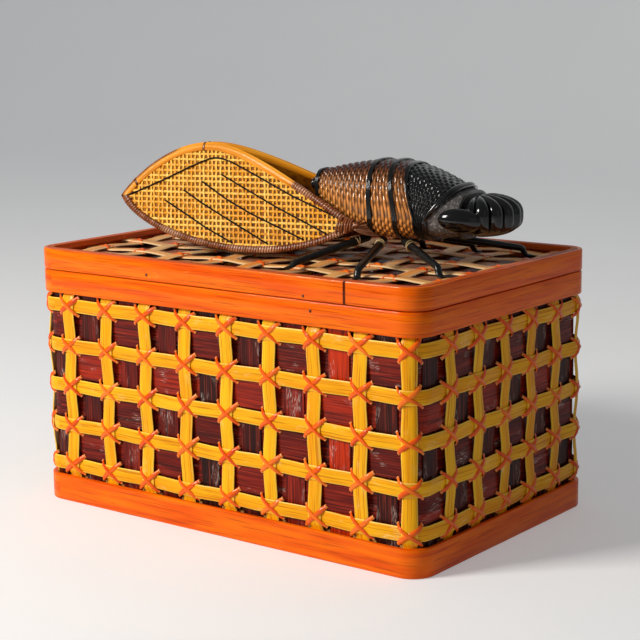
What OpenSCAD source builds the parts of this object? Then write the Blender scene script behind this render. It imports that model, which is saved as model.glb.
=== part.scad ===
// Woven bamboo insect cage: a box with a lashed lattice wall and a lift-off lid,
// with a large woven cicada figure standing on the lid.
// Millimetres. +X runs along the long front face, the front is at -Y,
// the box stands on z = 0 and is centred on the Z axis.

/* [Box] */
// Length over the bands
box_length = 250; // [225:1:300]
// Width over the bands
box_width = 160; // [145:1:200]
// Outer radius of the bent corners
corner_radius = 12.5; // [11.5:0.5:17]
// Height of the open lattice between base band and rim band
wall_height = 100.5; // [90:0.5:130]

/* [Bands and hoops] */
// Height of the base band
base_band_height = 14.5; // [12:0.5:22]
// Height of the rim band
rim_band_height = 12; // [9:0.5:18]
// Height of the lid band
lid_band_height = 11.2; // [10.6:0.2:16]
// Thickness of the three outer bands
band_thickness = 2.6; // [1.8:0.1:3.4]
// Thickness of the inner base hoop and of the collar that locates the lid
inner_hoop_thickness = 2.4; // [1.6:0.1:3.2]
// Height of the hoop that the box stands on, under the floor
foot_hoop_height = 3; // [2:0.5:4.5]
// How far the collar stands above the rim
collar_rise = 3; // [1.5:0.1:3]
// Height of the ledge hoop under the lid panel
ledge_height = 3.5; // [3.5:0.1:4.5]
// Width of the hoop that holds the lid panel down
hold_down_width = 2.8; // [2:0.1:4]

/* [Lattice] */
// Thickness of a lattice strip
strip_thickness = 0.9; // [0.6:0.05:1.1]
// How far the lattice lies behind the face of the bands
lattice_recess = 1; // [0.8:0.1:1.6]
// Number of lattice hoops round the wall
hoop_count = 5; // [4:1:6]
// Width of a lattice hoop
hoop_width = 7.2; // [5:0.1:8.5]
// Width of an upright
upright_width = 7.8; // [5:0.1:8.6]
// Number of uprights on a long side, the corner one included
uprights_long = 9; // [7:2:9]
// Number of uprights on a short side, the corner one included
uprights_short = 6; // [4:2:6]
// Distance from the end of the box to the first upright of a long side
first_upright_long = 22.5; // [20:0.5:30]
// Distance from the face of the box to the first upright of a short side
first_upright_short = 29; // [24:0.5:32]
// Turn of the corner upright round its corner, in degrees
corner_upright_angle = 27; // [26:1:45]

/* [Woven mat] */
// Thickness of a mat splint
splint_thickness = 0.8; // [0.5:0.05:1]
// Width of an upright splint
stake_width = 12.5; // [9:0.5:15]
// Width of a splint that is woven along the wall
weaver_width = 14; // [10:0.5:15]

/* [Lashings] */
// Width of the lashing cane
lash_width = 2; // [1.4:0.1:2.4]
// Thickness of the lashing cane
lash_thickness = 0.45; // [0.3:0.05:0.6]
// How far a lashing cross reaches past the edge of an upright
lash_side_reach = 2.9; // [2.6:0.1:3.6]
// How far a lashing cross reaches past the edge of a hoop
lash_end_reach = 1.8; // [1.7:0.1:2.6]
// Gap between a band's edge and the nearest lashing
lash_band_gap = 0.2; // [0.15:0.05:2]

/* [Lid lattice] */
// Number of lattice strips along the lid
lid_rows = 6; // [4:1:6]
// Number of lattice strips across the lid
lid_columns = 9; // [7:1:9]
// Distance from the side of the lid to the first strip along it
first_lid_row = 12.5; // [11.5:0.5:20]
// Distance from the end of the lid to the first strip across it
first_lid_column = 15; // [13:0.5:22]

/* [Cicada body] */
// Turn of the figure on the lid, in degrees
figure_turn = 8; // [0:1:15]
// Position of the tail along the figure's own length
tail_at = 8.5; // [4:0.5:12]
// Length of the body from the tail to the front of the neck
body_length = 88; // [80:0.5:100]
// Largest half width of the body
body_half_width = 21.5; // [18:0.5:23]
// Half width of the body at the tail
tail_half_width = 7.5; // [5:0.5:10]
// Half width of the body at the neck
neck_half_width = 18; // [15:0.5:20]
// Height of the back above the lid lattice
back_height = 51.2; // [46:0.2:56]
// Height of the belly above the lid lattice
belly_height = 12; // [9:0.2:14]
// Height of the top of the tail
tail_top = 44.2; // [40:0.2:48]
// Height of the underside of the tail
tail_bottom = 30; // [26:0.2:34]
// Height of the top of the neck
neck_top = 36; // [34:0.2:40]
// Height of the underside of the neck
neck_bottom = 14.5; // [12:0.2:18]
// Number of cane rings woven round the abdomen
abdomen_rings = 26; // [16:1:30]
// Number of cane rings woven round the thorax
thorax_rings = 6; // [4:1:9]
// Depth of the groove between two cane rings
cane_groove = 0.6; // [0.2:0.1:1]
// Width of the black bands round the abdomen
band_ring_width = 2.6; // [1.5:0.1:4]
// Thickness of the black bands round the abdomen
band_ring_thickness = 0.8; // [0.4:0.1:1.4]

/* [Cicada head and legs] */
// Length of the head
head_length = 23; // [20:0.5:30]
// Half width of the head
head_half_width = 19.5; // [18:0.5:22]
// Height of the head
head_height = 21.5; // [17:0.5:25]
// Number of lobes round the front of the head
head_lobes = 9; // [5:2:11]
// Length of an eye
eye_length = 22; // [18:0.5:26]
// Height of an eye
eye_height = 12; // [9:0.5:14]
// Thickness of an eye
eye_thickness = 9; // [7:0.5:11]
// Diameter of a leg where it meets the body
leg_diameter = 4.4; // [3.4:0.1:5.4]
// Diameter of a leg above its foot
ankle_diameter = 3.2; // [2.4:0.1:4]
// Diameter of a foot where it stands
foot_diameter = 3.6; // [3:0.1:4.4]
// Thickness of the cane ring that ties a leg
tie_thickness = 0.9; // [0.6:0.1:1.4]

/* [Cicada wings] */
// Length of a wing from its tip to its root
wing_length = 160; // [140:1:170]
// Height of the wing's peak above the line from tip to root
wing_peak = 36.5; // [30:0.5:42]
// Distance of the peak from the tip
wing_peak_at = 58; // [50:1:70]
// Depth of the wing's lower edge below that line
wing_drop = 20.5; // [16:0.5:21]
// Height of the wings' lower edge above the lid lattice
wing_edge_height = 1.5; // [1.3:0.1:6]
// Steepness of the wings, in degrees from the lid
wing_dip = 70.5; // [66:0.5:74]
// Width of the wing's frame strip
frame_width = 4.4; // [3:0.1:6]
// Thickness of the wing's frame strip
frame_thickness = 2.2; // [1.6:0.1:3]
// Distance between the splints of the wing's net
net_pitch = 4.4; // [4:0.1:6]
// Width of a splint of the wing's net
net_splint_width = 1; // [0.6:0.1:1.4]
// Diameter of the black veins
vein_diameter = 0.9; // [0.6:0.1:1.2]
// Diameter of the peg that ties a wing's root to the body
wing_peg_diameter = 3; // [2:0.1:3.4]

/* [Clearances] */
// Gap between woven strips and between layers
weave_gap = 0.1; // [0.06:0.02:0.2]
// Gap between pieces that are set against each other
set_gap = 0.15; // [0.1:0.05:0.3]
// Gap under the lid band and round the collar
lid_fit = 0.4; // [0.3:0.05:0.6]

/* [Hidden] */
$fn = 48;
arc_steps = 6;

// Half sizes of a lashing cross, and the slope and length of its arms
lash_half_width = upright_width / 2 + lash_side_reach;
lash_half_height = hoop_width / 2 + lash_end_reach;
lash_reach = norm([lash_half_width, lash_half_height]);
lash_angle = atan2(lash_half_height, lash_half_width);
lash_half_span = lash_width / 2 * cos(lash_angle);

// Depths of the wall's layers, measured inwards from the face of the bands
lattice_swing = (strip_thickness + weave_gap) / 2;
lattice_depth = lattice_recess + strip_thickness + weave_gap / 2;
lattice_back = lattice_depth + lattice_swing + strip_thickness / 2;
mat_swing = splint_thickness + weave_gap;
stake_front = max(lattice_back + 2 * weave_gap + mat_swing,
                  band_thickness + strip_thickness + 4 * weave_gap);
mat_depth = stake_front + splint_thickness / 2;
tuck_depth = (band_thickness + stake_front) / 2;
hoop_depth = stake_front + splint_thickness + set_gap;
inner_depth = hoop_depth + inner_hoop_thickness;

// Levels of the box
floor_middle = foot_hoop_height + weave_gap + splint_thickness / 2 + mat_swing;
floor_top = floor_middle + mat_swing + splint_thickness / 2;
rim_bottom = base_band_height + wall_height;
rim_top = rim_bottom + rim_band_height;
wall_foot = floor_top + set_gap;
wall_head = rim_top - 2 * set_gap;

// Levels of the lid
lid_bottom = rim_top + lid_fit;
lid_top = lid_bottom + lid_band_height;
ledge_top = lid_bottom + ledge_height;
lid_mat_middle = ledge_top + weave_gap + splint_thickness / 2 + mat_swing;
lid_mat_top = lid_mat_middle + mat_swing + splint_thickness / 2;
lid_lattice_middle = lid_mat_top + weave_gap + strip_thickness / 2 + lattice_swing;
lid_surface = lid_lattice_middle + lattice_swing + strip_thickness / 2;

// The wall's path: stations run anticlockwise from the left end of the straight
// part of the front, measured on the middle of the lattice
straight_long = box_length - 2 * corner_radius;
straight_short = box_width - 2 * corner_radius;
path_radius = corner_radius - lattice_depth;
quarter = path_radius * PI / 2;
half_turn = straight_long + straight_short + 2 * quarter;
full_turn = 2 * half_turn;
corner_past = path_radius * corner_upright_angle * PI / 180;

long_pitch = (straight_long + corner_past - first_upright_long + corner_radius) / (uprights_long - 1);
short_pitch = (straight_short + corner_past - first_upright_short + corner_radius) / (uprights_short - 1);
long_stations = [for (i = [0 : uprights_long - 1]) first_upright_long - corner_radius + i * long_pitch];
short_stations = [for (i = [0 : uprights_short - 1])
    straight_long + quarter + first_upright_short - corner_radius + i * short_pitch];
half_stations = concat(long_stations, short_stations);
upright_stations = concat(half_stations, [for (s = half_stations) s + half_turn]);
upright_total = len(upright_stations);
stake_stations = [for (i = [0 : upright_total - 1])
    (upright_stations[i] + (i + 1 < upright_total ? upright_stations[i + 1]
                                                  : upright_stations[0] + full_turn)) / 2];
side_firsts = [0, uprights_long, uprights_long + uprights_short, 2 * uprights_long + uprights_short];
side_counts = [uprights_long, uprights_short, uprights_long, uprights_short];
sides = ["front", "right", "back", "left"];

hoop_margin = lash_half_height + lash_half_span + lash_band_gap;
hoop_pitch = (wall_height - 2 * hoop_margin) / (hoop_count - 1);
hoop_heights = [for (i = [0 : hoop_count - 1]) base_band_height + hoop_margin + i * hoop_pitch];
weaver_count = hoop_count - 1;
weaver_heights = [for (i = [0 : weaver_count - 1]) hoop_heights[i] + hoop_pitch / 2];

function before_half(s) = s % half_turn;
function turn_sign(s) = (s % full_turn) < half_turn ? 1 : -1;

// A point of the wall at a station and a depth behind the bands' face
function half_path(s, depth) =
    s < straight_long ? [s - straight_long / 2, depth - box_width / 2] :
    s < straight_long + quarter
        ? let (a = (s - straight_long) / quarter * 90)
          [straight_long / 2 + (corner_radius - depth) * sin(a),
           -straight_short / 2 - (corner_radius - depth) * cos(a)] :
    s < straight_long + quarter + straight_short
        ? [box_length / 2 - depth, s - straight_long - quarter - straight_short / 2] :
    let (a = (s - straight_long - quarter - straight_short) / quarter * 90)
    [straight_long / 2 + (corner_radius - depth) * cos(a),
     straight_short / 2 + (corner_radius - depth) * sin(a)];
function path_point(s, depth) = turn_sign(s + full_turn) * half_path(before_half(s + full_turn), depth);

// Direction of the wall's outward normal at a station, in degrees
function half_normal(s) =
    s < straight_long ? -90 :
    s < straight_long + quarter ? -90 + (s - straight_long) / quarter * 90 :
    s < straight_long + quarter + straight_short ? 0 :
    (s - straight_long - quarter - straight_short) / quarter * 90;
function normal_turn(s) = half_normal(before_half(s + full_turn)) + (turn_sign(s + full_turn) > 0 ? 0 : 180);

// Stations that follow the four bent corners
arc_stations = [for (turn = [0, half_turn])
    for (start = [straight_long, straight_long + quarter + straight_short])
        for (i = [0 : arc_steps]) turn + start + quarter * i / arc_steps];

function sorted(list) = len(list) <= 1 ? list :
    let (pivot = list[floor(len(list) / 2)])
    concat(sorted([for (v = list) if (v < pivot) v]),
           [for (v = list) if (v == pivot) v],
           sorted([for (v = list) if (v > pivot) v]));
// Leaves out a station that lies too close after the one before it
function thinned(list) = [for (i = [0 : len(list) - 1])
    if (i == 0 || list[i] - list[i - 1] > set_gap) list[i]];

// Swing of a woven strip: flat for a half length at each crossing, straight between
function swing_at(s, crossings, flat, swing, first_sign) =
    let (count = len(crossings),
         w = s < crossings[0] ? s + full_turn : s,
         k = len([for (c = crossings) if (c <= w) c]) - 1,
         here = crossings[k],
         next = k + 1 < count ? crossings[k + 1] : crossings[0] + full_turn,
         sign_here = (k % 2 == 0 ? 1 : -1) * first_sign,
         share = (w - here - flat) / (next - here - 2 * flat))
    swing * sign_here * (1 - 2 * min(1, max(0, share)));

// Closed woven strip round the wall, standing on z = 0
module woven_ring(crossings, flat, depth, swing, thickness, width, first_sign) {
    stations = thinned(sorted(concat(
        [for (c = crossings) for (side = [-flat, flat]) (c + side + full_turn) % full_turn], arc_stations)));
    function loop_points(offset) = [for (s = stations)
        path_point(s, depth - offset - swing_at(s, crossings, flat, swing, first_sign))];
    linear_extrude(width)
        difference() {
            polygon(loop_points(thickness / 2));
            polygon(loop_points(-thickness / 2));
        }
}

// Straight upright splint that follows the wall's plan between two stations
module plan_strip(from, to, depth, thickness, height) {
    bends = [for (a = arc_stations) for (s = [a, a + full_turn])
        if (s > from + set_gap && s < to - set_gap) s];
    stations = concat([from], sorted(bends), [to]);
    outer = [for (s = stations) path_point(s, depth - thickness / 2)];
    inner = [for (i = [len(stations) - 1 : -1 : 0]) path_point(stations[i], depth + thickness / 2)];
    linear_extrude(height) polygon(concat(outer, inner));
}

module rounded_plan(depth) {
    length = box_length - 2 * depth;
    width = box_width - 2 * depth;
    radius = corner_radius - depth;
    square([length - 2 * radius, width], center = true);
    square([length, width - 2 * radius], center = true);
    for (x = [-1, 1])
        for (y = [-1, 1])
            translate([x * (length / 2 - radius), y * (width / 2 - radius)])
                circle(radius);
}

// Bent hoop with square edges, from one depth to another
module bent_hoop(outer_depth, inner_depth, bottom, height) {
    translate([0, 0, bottom])
        linear_extrude(height)
            difference() {
                rounded_plan(outer_depth);
                rounded_plan(inner_depth);
            }
}

module base_band() {
    color("darkorange") bent_hoop(0, band_thickness, 0, base_band_height);
}

module foot_hoop() {
    color("chocolate") bent_hoop(band_thickness + set_gap, inner_depth, 0, foot_hoop_height);
}

module base_inner_hoop() {
    color("chocolate") bent_hoop(hoop_depth, inner_depth, wall_foot, base_band_height - wall_foot);
}

module rim_band() {
    color("darkorange") bent_hoop(0, band_thickness, rim_bottom, rim_band_height);
}

module lid_collar() {
    color("chocolate") bent_hoop(hoop_depth, inner_depth, rim_bottom, rim_band_height + collar_rise);
}

// Flat half length of a woven strip at its crossings, from the width that it crosses
function flat_half(crossed_width) = crossed_width / 2 + 4 * weave_gap;

module lattice_hoop(row) {
    color("gold")
        translate([0, 0, hoop_heights[row] - hoop_width / 2])
            woven_ring(upright_stations, flat_half(upright_width), lattice_depth, lattice_swing,
                       strip_thickness, hoop_width, row % 2 == 0 ? -1 : 1);
}

// Profile of an upright: outward swing against height, ends tucked behind the bands
module upright_profile(column) {
    tuck = lattice_depth - tuck_depth;
    flat = flat_half(hoop_width);
    knee_low = base_band_height - weave_gap;
    knee_high = rim_bottom + weave_gap;
    crossings = [for (row = [0 : hoop_count - 1])
        for (side = [-flat, flat])
            [((row + column) % 2 == 0 ? 1 : -1) * lattice_swing, hoop_heights[row] + side]];
    line = concat([[tuck, wall_foot], [tuck, knee_low]], crossings, [[tuck, knee_high], [tuck, wall_head]]);
    last = len(line) - 1;
    polygon(concat([for (p = line) p + [strip_thickness / 2, 0]],
                   [for (i = [last : -1 : 0]) line[i] - [strip_thickness / 2, 0]]));
}

module upright(column) {
    station = upright_stations[column];
    on_corner = before_half(station) > straight_long && before_half(station) < straight_long + quarter
             || before_half(station) > straight_long + quarter + straight_short;
    if (on_corner) {
        span = upright_width / path_radius * 180 / PI;
        centre = path_point(station, corner_radius);
        translate([centre[0], centre[1], 0])
            rotate([0, 0, normal_turn(station) - span / 2])
                rotate_extrude(angle = span)
                    translate([path_radius, 0]) upright_profile(column);
    } else {
        place = path_point(station, lattice_depth);
        translate([place[0], place[1], 0])
            rotate([0, 0, normal_turn(station)])
                rotate([90, 0, 0])
                    linear_extrude(upright_width, center = true) upright_profile(column);
    }
}

module uprights(side) {
    color("gold")
        for (i = [0 : side_counts[side] - 1]) upright(side_firsts[side] + i);
}

module wall_stakes(side) {
    color("maroon")
        for (i = [0 : side_counts[side] - 1])
            let (s = stake_stations[side_firsts[side] + i])
            translate([0, 0, wall_foot])
                plan_strip(s - stake_width / 2, s + stake_width / 2, mat_depth, splint_thickness,
                           wall_head - wall_foot);
}

module wall_weaver(row) {
    color("darkred")
        translate([0, 0, weaver_heights[row] - weaver_width / 2])
            woven_ring(stake_stations, flat_half(stake_width), mat_depth, mat_swing,
                       splint_thickness, weaver_width, row % 2 == 0 ? 1 : -1);
}

// One arm of a lashing: flat over the crossing, ends bent in to the mat.
// lift raises the middle of the upper arm, drop is how far the ends bend in,
// bend is the radius of a rounded corner under the crossing, 0 on a flat face.
lash_end_run = 1.1;
hump_flat = lash_width * 0.95;
hump_run = lash_width * 1.8;
module lash_arm(lift, drop, bend) {
    half_line = [[0, lift], [hump_flat, lift], [hump_run, 0],
                 [lash_reach - lash_end_run, 0], [lash_reach, -drop]];
    plain_line = [[0, 0], [lash_reach / 3, 0], [lash_reach * 2 / 3, 0], [lash_reach - lash_end_run, 0],
                  [lash_reach, -drop]];
    shape = lift > 0 ? half_line : plain_line;
    function sag(d) = bend > 0 ? bend - sqrt(bend * bend - pow(d * cos(lash_angle), 2)) : 0;
    right = [for (p = shape) [p[0], p[1] - sag(p[0])]];
    line = concat([for (i = [len(right) - 1 : -1 : 1]) [-right[i][0], right[i][1]]], right);
    last = len(line) - 1;
    rotate([90, 0, 0])
        linear_extrude(lash_width, center = true)
            polygon(concat([for (p = line) p + [0, lash_thickness]], [for (i = [last : -1 : 0]) line[i]]));
}

// A crossed lashing lying on z = 0, its lower arm first
module lashing(drop, bend) {
    rotate([0, 0, lash_angle]) lash_arm(0, drop, bend);
    rotate([0, 0, -lash_angle]) lash_arm(lash_thickness + weave_gap, drop, bend);
}

lash_seat = lattice_swing + strip_thickness / 2 + weave_gap;
wall_lash_drop = lash_seat + (stake_front - mat_swing - lattice_depth) - 2 * weave_gap;
corner_lift = 0.55;
module lashings(side) {
    color("orangered")
        for (i = [0 : side_counts[side] - 1])
            let (s = upright_stations[side_firsts[side] + i],
                 on_corner = i == side_counts[side] - 1,
                 lift = on_corner ? corner_lift : 0,
                 place = path_point(s, lattice_depth - lash_seat - lift))
            for (z = hoop_heights)
                translate([place[0], place[1], z])
                    rotate([0, 0, normal_turn(s)])
                        rotate([90, 0, 90])
                            lashing(on_corner ? 0 : wall_lash_drop, on_corner ? path_radius + lash_seat : 0);
}

// Flat woven panels: strips along X and along Y inside the rounded plan of a band
panel_depth = band_thickness + set_gap;
module inside_band(bottom, top) {
    intersection() {
        children();
        translate([0, 0, bottom])
            linear_extrude(top - bottom) rounded_plan(panel_depth);
    }
}

// Profile of a flat woven strip: height against distance along it
module woven_profile(crossings, flat, swing, thickness, half_length, first_sign) {
    middle = [for (k = [0 : len(crossings) - 1])
        for (side = [-flat, flat])
            [crossings[k] + side, (k % 2 == 0 ? 1 : -1) * first_sign * swing]];
    inside = [for (p = middle) if (abs(p[0]) < half_length - set_gap) p];
    line = concat([[-half_length, inside[0][1]]], inside, [[half_length, inside[len(inside) - 1][1]]]);
    last = len(line) - 1;
    polygon(concat([for (p = line) p + [0, thickness / 2]],
                   [for (i = [last : -1 : 0]) line[i] - [0, thickness / 2]]));
}

module strip_along_x(y, middle, width) {
    translate([0, y, middle]) rotate([90, 0, 0]) linear_extrude(width, center = true) children();
}

module strip_along_y(x, middle, width) {
    translate([x, 0, middle]) rotate([90, 0, 90]) linear_extrude(width, center = true) children();
}

lid_row_pitch = (box_width - 2 * first_lid_row) / (lid_rows - 1);
lid_row_lines = [for (i = [0 : lid_rows - 1]) first_lid_row - box_width / 2 + i * lid_row_pitch];
lid_column_pitch = (box_length - 2 * first_lid_column) / (lid_columns - 1);
lid_column_lines = [for (i = [0 : lid_columns - 1]) first_lid_column - box_length / 2 + i * lid_column_pitch];
mat_row_lines = [for (i = [0 : lid_rows - 2]) lid_row_lines[i] + lid_row_pitch / 2];
mat_column_lines = [for (i = [0 : lid_columns - 2]) lid_column_lines[i] + lid_column_pitch / 2];
panel_half_length = box_length / 2 - panel_depth;
panel_half_width = box_width / 2 - panel_depth;

module mat_long(middle) {
    for (i = [0 : len(mat_row_lines) - 1])
        strip_along_x(mat_row_lines[i], middle, weaver_width)
            woven_profile(mat_column_lines, flat_half(stake_width), mat_swing, splint_thickness,
                          panel_half_length, i % 2 == 0 ? 1 : -1);
}

module mat_cross(middle) {
    for (x = mat_column_lines)
        translate([x - stake_width / 2, -panel_half_width, middle - splint_thickness / 2])
            cube([stake_width, 2 * panel_half_width, splint_thickness]);
}

module floor_long() {
    color("sienna") inside_band(foot_hoop_height, floor_top + set_gap) mat_long(floor_middle);
}

module floor_cross() {
    color("maroon") inside_band(foot_hoop_height, floor_top + set_gap) mat_cross(floor_middle);
}

module lid_band() {
    color("darkorange") bent_hoop(0, band_thickness, lid_bottom, lid_band_height);
}

module lid_ledge() {
    color("chocolate") bent_hoop(band_thickness + set_gap, hoop_depth - lid_fit, lid_bottom, ledge_height);
}

module lid_hold_down() {
    color("darkorange")
        bent_hoop(band_thickness + set_gap, band_thickness + set_gap + hold_down_width,
                  lid_surface + weave_gap, lid_top - lid_surface - weave_gap);
}

module lid_mat_long() {
    color("darkred") inside_band(ledge_top, lid_surface) mat_long(lid_mat_middle);
}

module lid_mat_cross() {
    color("maroon") inside_band(ledge_top, lid_surface) mat_cross(lid_mat_middle);
}

module lid_lattice_long() {
    color("gold")
        inside_band(ledge_top, lid_top)
            for (i = [0 : lid_rows - 1])
                strip_along_x(lid_row_lines[i], lid_lattice_middle, hoop_width)
                    woven_profile(lid_column_lines, flat_half(upright_width), lattice_swing, strip_thickness,
                                  panel_half_length, i % 2 == 0 ? 1 : -1);
}

module lid_lattice_cross() {
    color("gold")
        inside_band(ledge_top, lid_top)
            for (i = [0 : lid_columns - 1])
                strip_along_y(lid_column_lines[i], lid_lattice_middle, upright_width)
                    woven_profile(lid_row_lines, flat_half(hoop_width), lattice_swing, strip_thickness,
                                  panel_half_width, i % 2 == 0 ? -1 : 1);
}

lid_lash_drop = lash_seat + (lid_lattice_middle - lid_mat_top) - 2 * weave_gap;
module lid_lashings() {
    edge_room = panel_depth + hold_down_width + set_gap;
    color("orangered")
        for (x = lid_column_lines)
            for (y = lid_row_lines)
                if (abs(x) + lash_half_width + lash_width / 2 < box_length / 2 - edge_room
                    && abs(y) + lash_half_height + lash_width / 2 < box_width / 2 - edge_room)
                    translate([x, y, lid_lattice_middle + lash_seat]) lashing(lid_lash_drop, 0);
}

// The cicada's own frame: x forwards, z up from the surface of the lid lattice
module on_lid() {
    translate([0, 0, lid_surface]) rotate([0, 0, figure_turn]) children();
}

// A size that rises from one end to a peak and falls to the other
function swell(t, first, peak, last, at) =
    t < at ? first + (peak - first) * sin(90 * t / at)
           : last + (peak - last) * cos(90 * (t - at) / (1 - at));
// Stations, from 0 at the tail to 1 at the neck, where the body is widest and deepest
widest_at = 0.55;
deepest_at = 0.5;
function body_x(t) = tail_at + body_length * t;
function body_width(t) = swell(t, tail_half_width, body_half_width, neck_half_width, widest_at);
function body_top(t) = swell(t, tail_top, back_height, neck_top, deepest_at);
function body_bottom(t) = swell(t, tail_bottom, belly_height, neck_bottom, deepest_at);
widest_share = 0.33;
section_power = 0.75;
function body_centre(t) = body_bottom(t) + widest_share * (body_top(t) - body_bottom(t));
function signed_power(v, p) = sign(v) * pow(abs(v), p);

// Stations where the abdomen ends under the thorax and the thorax under the neck plate
abdomen_end = 0.725;
thorax_end = 0.795;
// Stations of the black bands
band_stations = [0.443, 0.609];
band_on_back = 0.42;
// A ring crosses the body's side at one station and its back at another: the rings
// lean back over the abdomen and fan forward over the thorax, which is long on top
abdomen_end_on_back = 0.63;
thorax_end_on_back = 0.955;
function back_station(t) =
    lookup(t, [[0, 0], [band_stations[0], band_on_back], [abdomen_end, abdomen_end_on_back],
               [thorax_end, thorax_end_on_back], [1, 1]]);

// A point of the body's skin at a station along it and an angle round it
function body_point(t, a, grow) =
    let (back = back_station(t),
         up = sin(a) > 0 ? body_top(back) - body_centre(t) : body_centre(t) - body_bottom(t),
         rise = (up + grow) * signed_power(sin(a), section_power))
    [body_x(t) + max(0, rise) / up * (body_x(back) - body_x(t)),
     (body_width(t) + grow) * signed_power(cos(a), section_power),
     body_centre(t) + rise];

// Solid skinned over a list of rings of points, closed by a point at each end
module skinned(rings, first, last) {
    sides = len(rings[0]);
    steps = len(rings) - 1;
    points = concat([for (ring = rings) each ring], [first, last]);
    start = len(points) - 2;
    end = len(points) - 1;
    faces = concat(
        [for (i = [0 : steps - 1]) for (j = [0 : sides - 1])
            let (a = i * sides + j, b = i * sides + (j + 1) % sides)
            each [[a, b + sides, b], [a, a + sides, b + sides]]],
        [for (j = [0 : sides - 1]) [start, j, (j + 1) % sides]],
        [for (j = [0 : sides - 1]) [end, steps * sides + (j + 1) % sides, steps * sides + j]]);
    polyhedron(points, faces);
}

body_sides = 28;
// Solid between two stations of the body, swollen by grow
module body_loft(from, to, steps, grow) {
    ringed_loft(from, to, [for (i = [0 : steps]) grow]);
}

// The same with a swelling of its own for each of the rings that it is skinned over
module ringed_loft(from, to, grows) {
    steps = len(grows) - 1;
    skinned([for (i = [0 : steps]) [for (j = [0 : body_sides - 1])
                body_point(from + (to - from) * i / steps, 360 * j / body_sides, grows[i])]],
            [body_x(from), 0, body_centre(from)], [body_x(to), 0, body_centre(to)]);
}

// Woven part of the body: cane rings side by side, with a groove between each two
module cane_loft(from, to, count) {
    ringed_loft(from, to, [for (i = [0 : 2 * count]) i % 2 == 0 ? -cane_groove : 0]);
}

seam = set_gap / body_length;

module abdomen() {
    color("saddlebrown") on_lid() cane_loft(0, abdomen_end, abdomen_rings);
}

module abdomen_bands() {
    half = band_ring_width / body_length / 2;
    color("black")
        on_lid()
            for (t = band_stations)
                difference() {
                    body_loft(t - half, t + half, 1, band_ring_thickness);
                    body_loft(t - 2 * half, t + 2 * half, 2, set_gap);
                }
}

tail_knob_length = 5;
knob_base_share = 0.8;
knob_tip_share = 0.35;
module tail_knob() {
    middle = (tail_top + tail_bottom) / 2;
    radius = (tail_top - tail_bottom) / 2;
    color("black")
        on_lid()
            translate([tail_at - set_gap, 0, middle])
                rotate([0, -90, 0])
                    cylinder(tail_knob_length, r1 = radius * knob_base_share, r2 = radius * knob_tip_share);
}

module thorax() {
    color("black") on_lid() cane_loft(abdomen_end + seam, thorax_end, thorax_rings);
}

neck_steps = 3;
module neck_plate() {
    color("dimgray") on_lid() body_loft(thorax_end + seam, 1, neck_steps, -set_gap);
}

// Head: half of a flattened round form with lobes round its front
head_back = body_x(1) + set_gap;
head_middle = (neck_top + neck_bottom) / 2;
head_power = 0.7;
lobe_depth = 0.045;
head_turns = 54;
head_levels = 8;
head_pole = 80;
function head_point(turn, level, grow) =
    let (lobe = 1 + lobe_depth * cos(turn * 2 * head_lobes) * pow(cos(level), 2))
    [head_back + (head_length * lobe + grow) * cos(turn) * signed_power(cos(level), head_power),
     (head_half_width * lobe + grow) * sin(turn) * signed_power(cos(level), head_power),
     head_middle + (head_height / 2 + grow) * signed_power(sin(level), head_power)];

module head_form(grow) {
    rows = head_levels + 1;
    columns = head_turns + 1;
    front = [for (i = [0 : head_turns]) for (k = [0 : head_levels])
        head_point(-90 + 180 * i / head_turns, head_pole * (2 * k / head_levels - 1), grow)];
    top = len(front);
    bottom = top + 1;
    points = concat(front, [[head_back, 0, head_middle + head_height / 2 + grow],
                            [head_back, 0, head_middle - head_height / 2 - grow]]);
    last = (columns - 1) * rows;
    rim = concat([bottom], [for (k = [0 : head_levels]) k], [top],
                 [for (k = [head_levels : -1 : 0]) last + k]);
    faces = concat(
        [for (i = [0 : columns - 2]) for (k = [0 : rows - 2])
            let (a = i * rows + k, b = a + rows)
            each [[a, a + 1, b + 1], [a, b + 1, b]]],
        [for (i = [0 : columns - 2]) [i * rows + rows - 1, top, (i + 1) * rows + rows - 1]],
        [for (i = [0 : columns - 2]) [i * rows, (i + 1) * rows, bottom]],
        [[for (i = [len(rim) - 1 : -1 : 0]) rim[i]]]);
    polyhedron(points, faces);
}

eye_forward = 0.5;
eye_out = 0.5;
eye_drop = 1;
eye_turn = 14;
eye_pitch = 4;
eye_gap = 2 * set_gap;
eye_sides = 20;
eye_rings = 10;
eye_end = 75;
eye_at = [head_back + eye_forward, head_half_width + eye_out, head_middle - eye_drop];
module eye_form(side) {
    translate([eye_at[0], side * eye_at[1], eye_at[2]])
        rotate([0, eye_pitch, -side * eye_turn])
            skinned([for (k = [0 : eye_rings])
                        let (level = eye_end * (2 * k / eye_rings - 1))
                        [for (j = [0 : eye_sides - 1])
                            let (a = 360 * j / eye_sides)
                            [eye_length / 2 * sin(level), eye_thickness / 2 * cos(level) * cos(a),
                             eye_height / 2 * cos(level) * sin(a)]]],
                    [-eye_length / 2, 0, 0], [eye_length / 2, 0, 0]);
}

module head() {
    color("black") on_lid() head_form(0);
}

// The eye is a long bead cut to sit on the head and the neck
module eye(side) {
    color("black")
        on_lid()
            difference() {
                eye_form(side);
                translate([-eye_gap, 0, 0]) head_form(2 * eye_gap);
                body_loft(thorax_end - seam, 1 + seam, neck_steps, eye_gap);
            }
}

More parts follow.
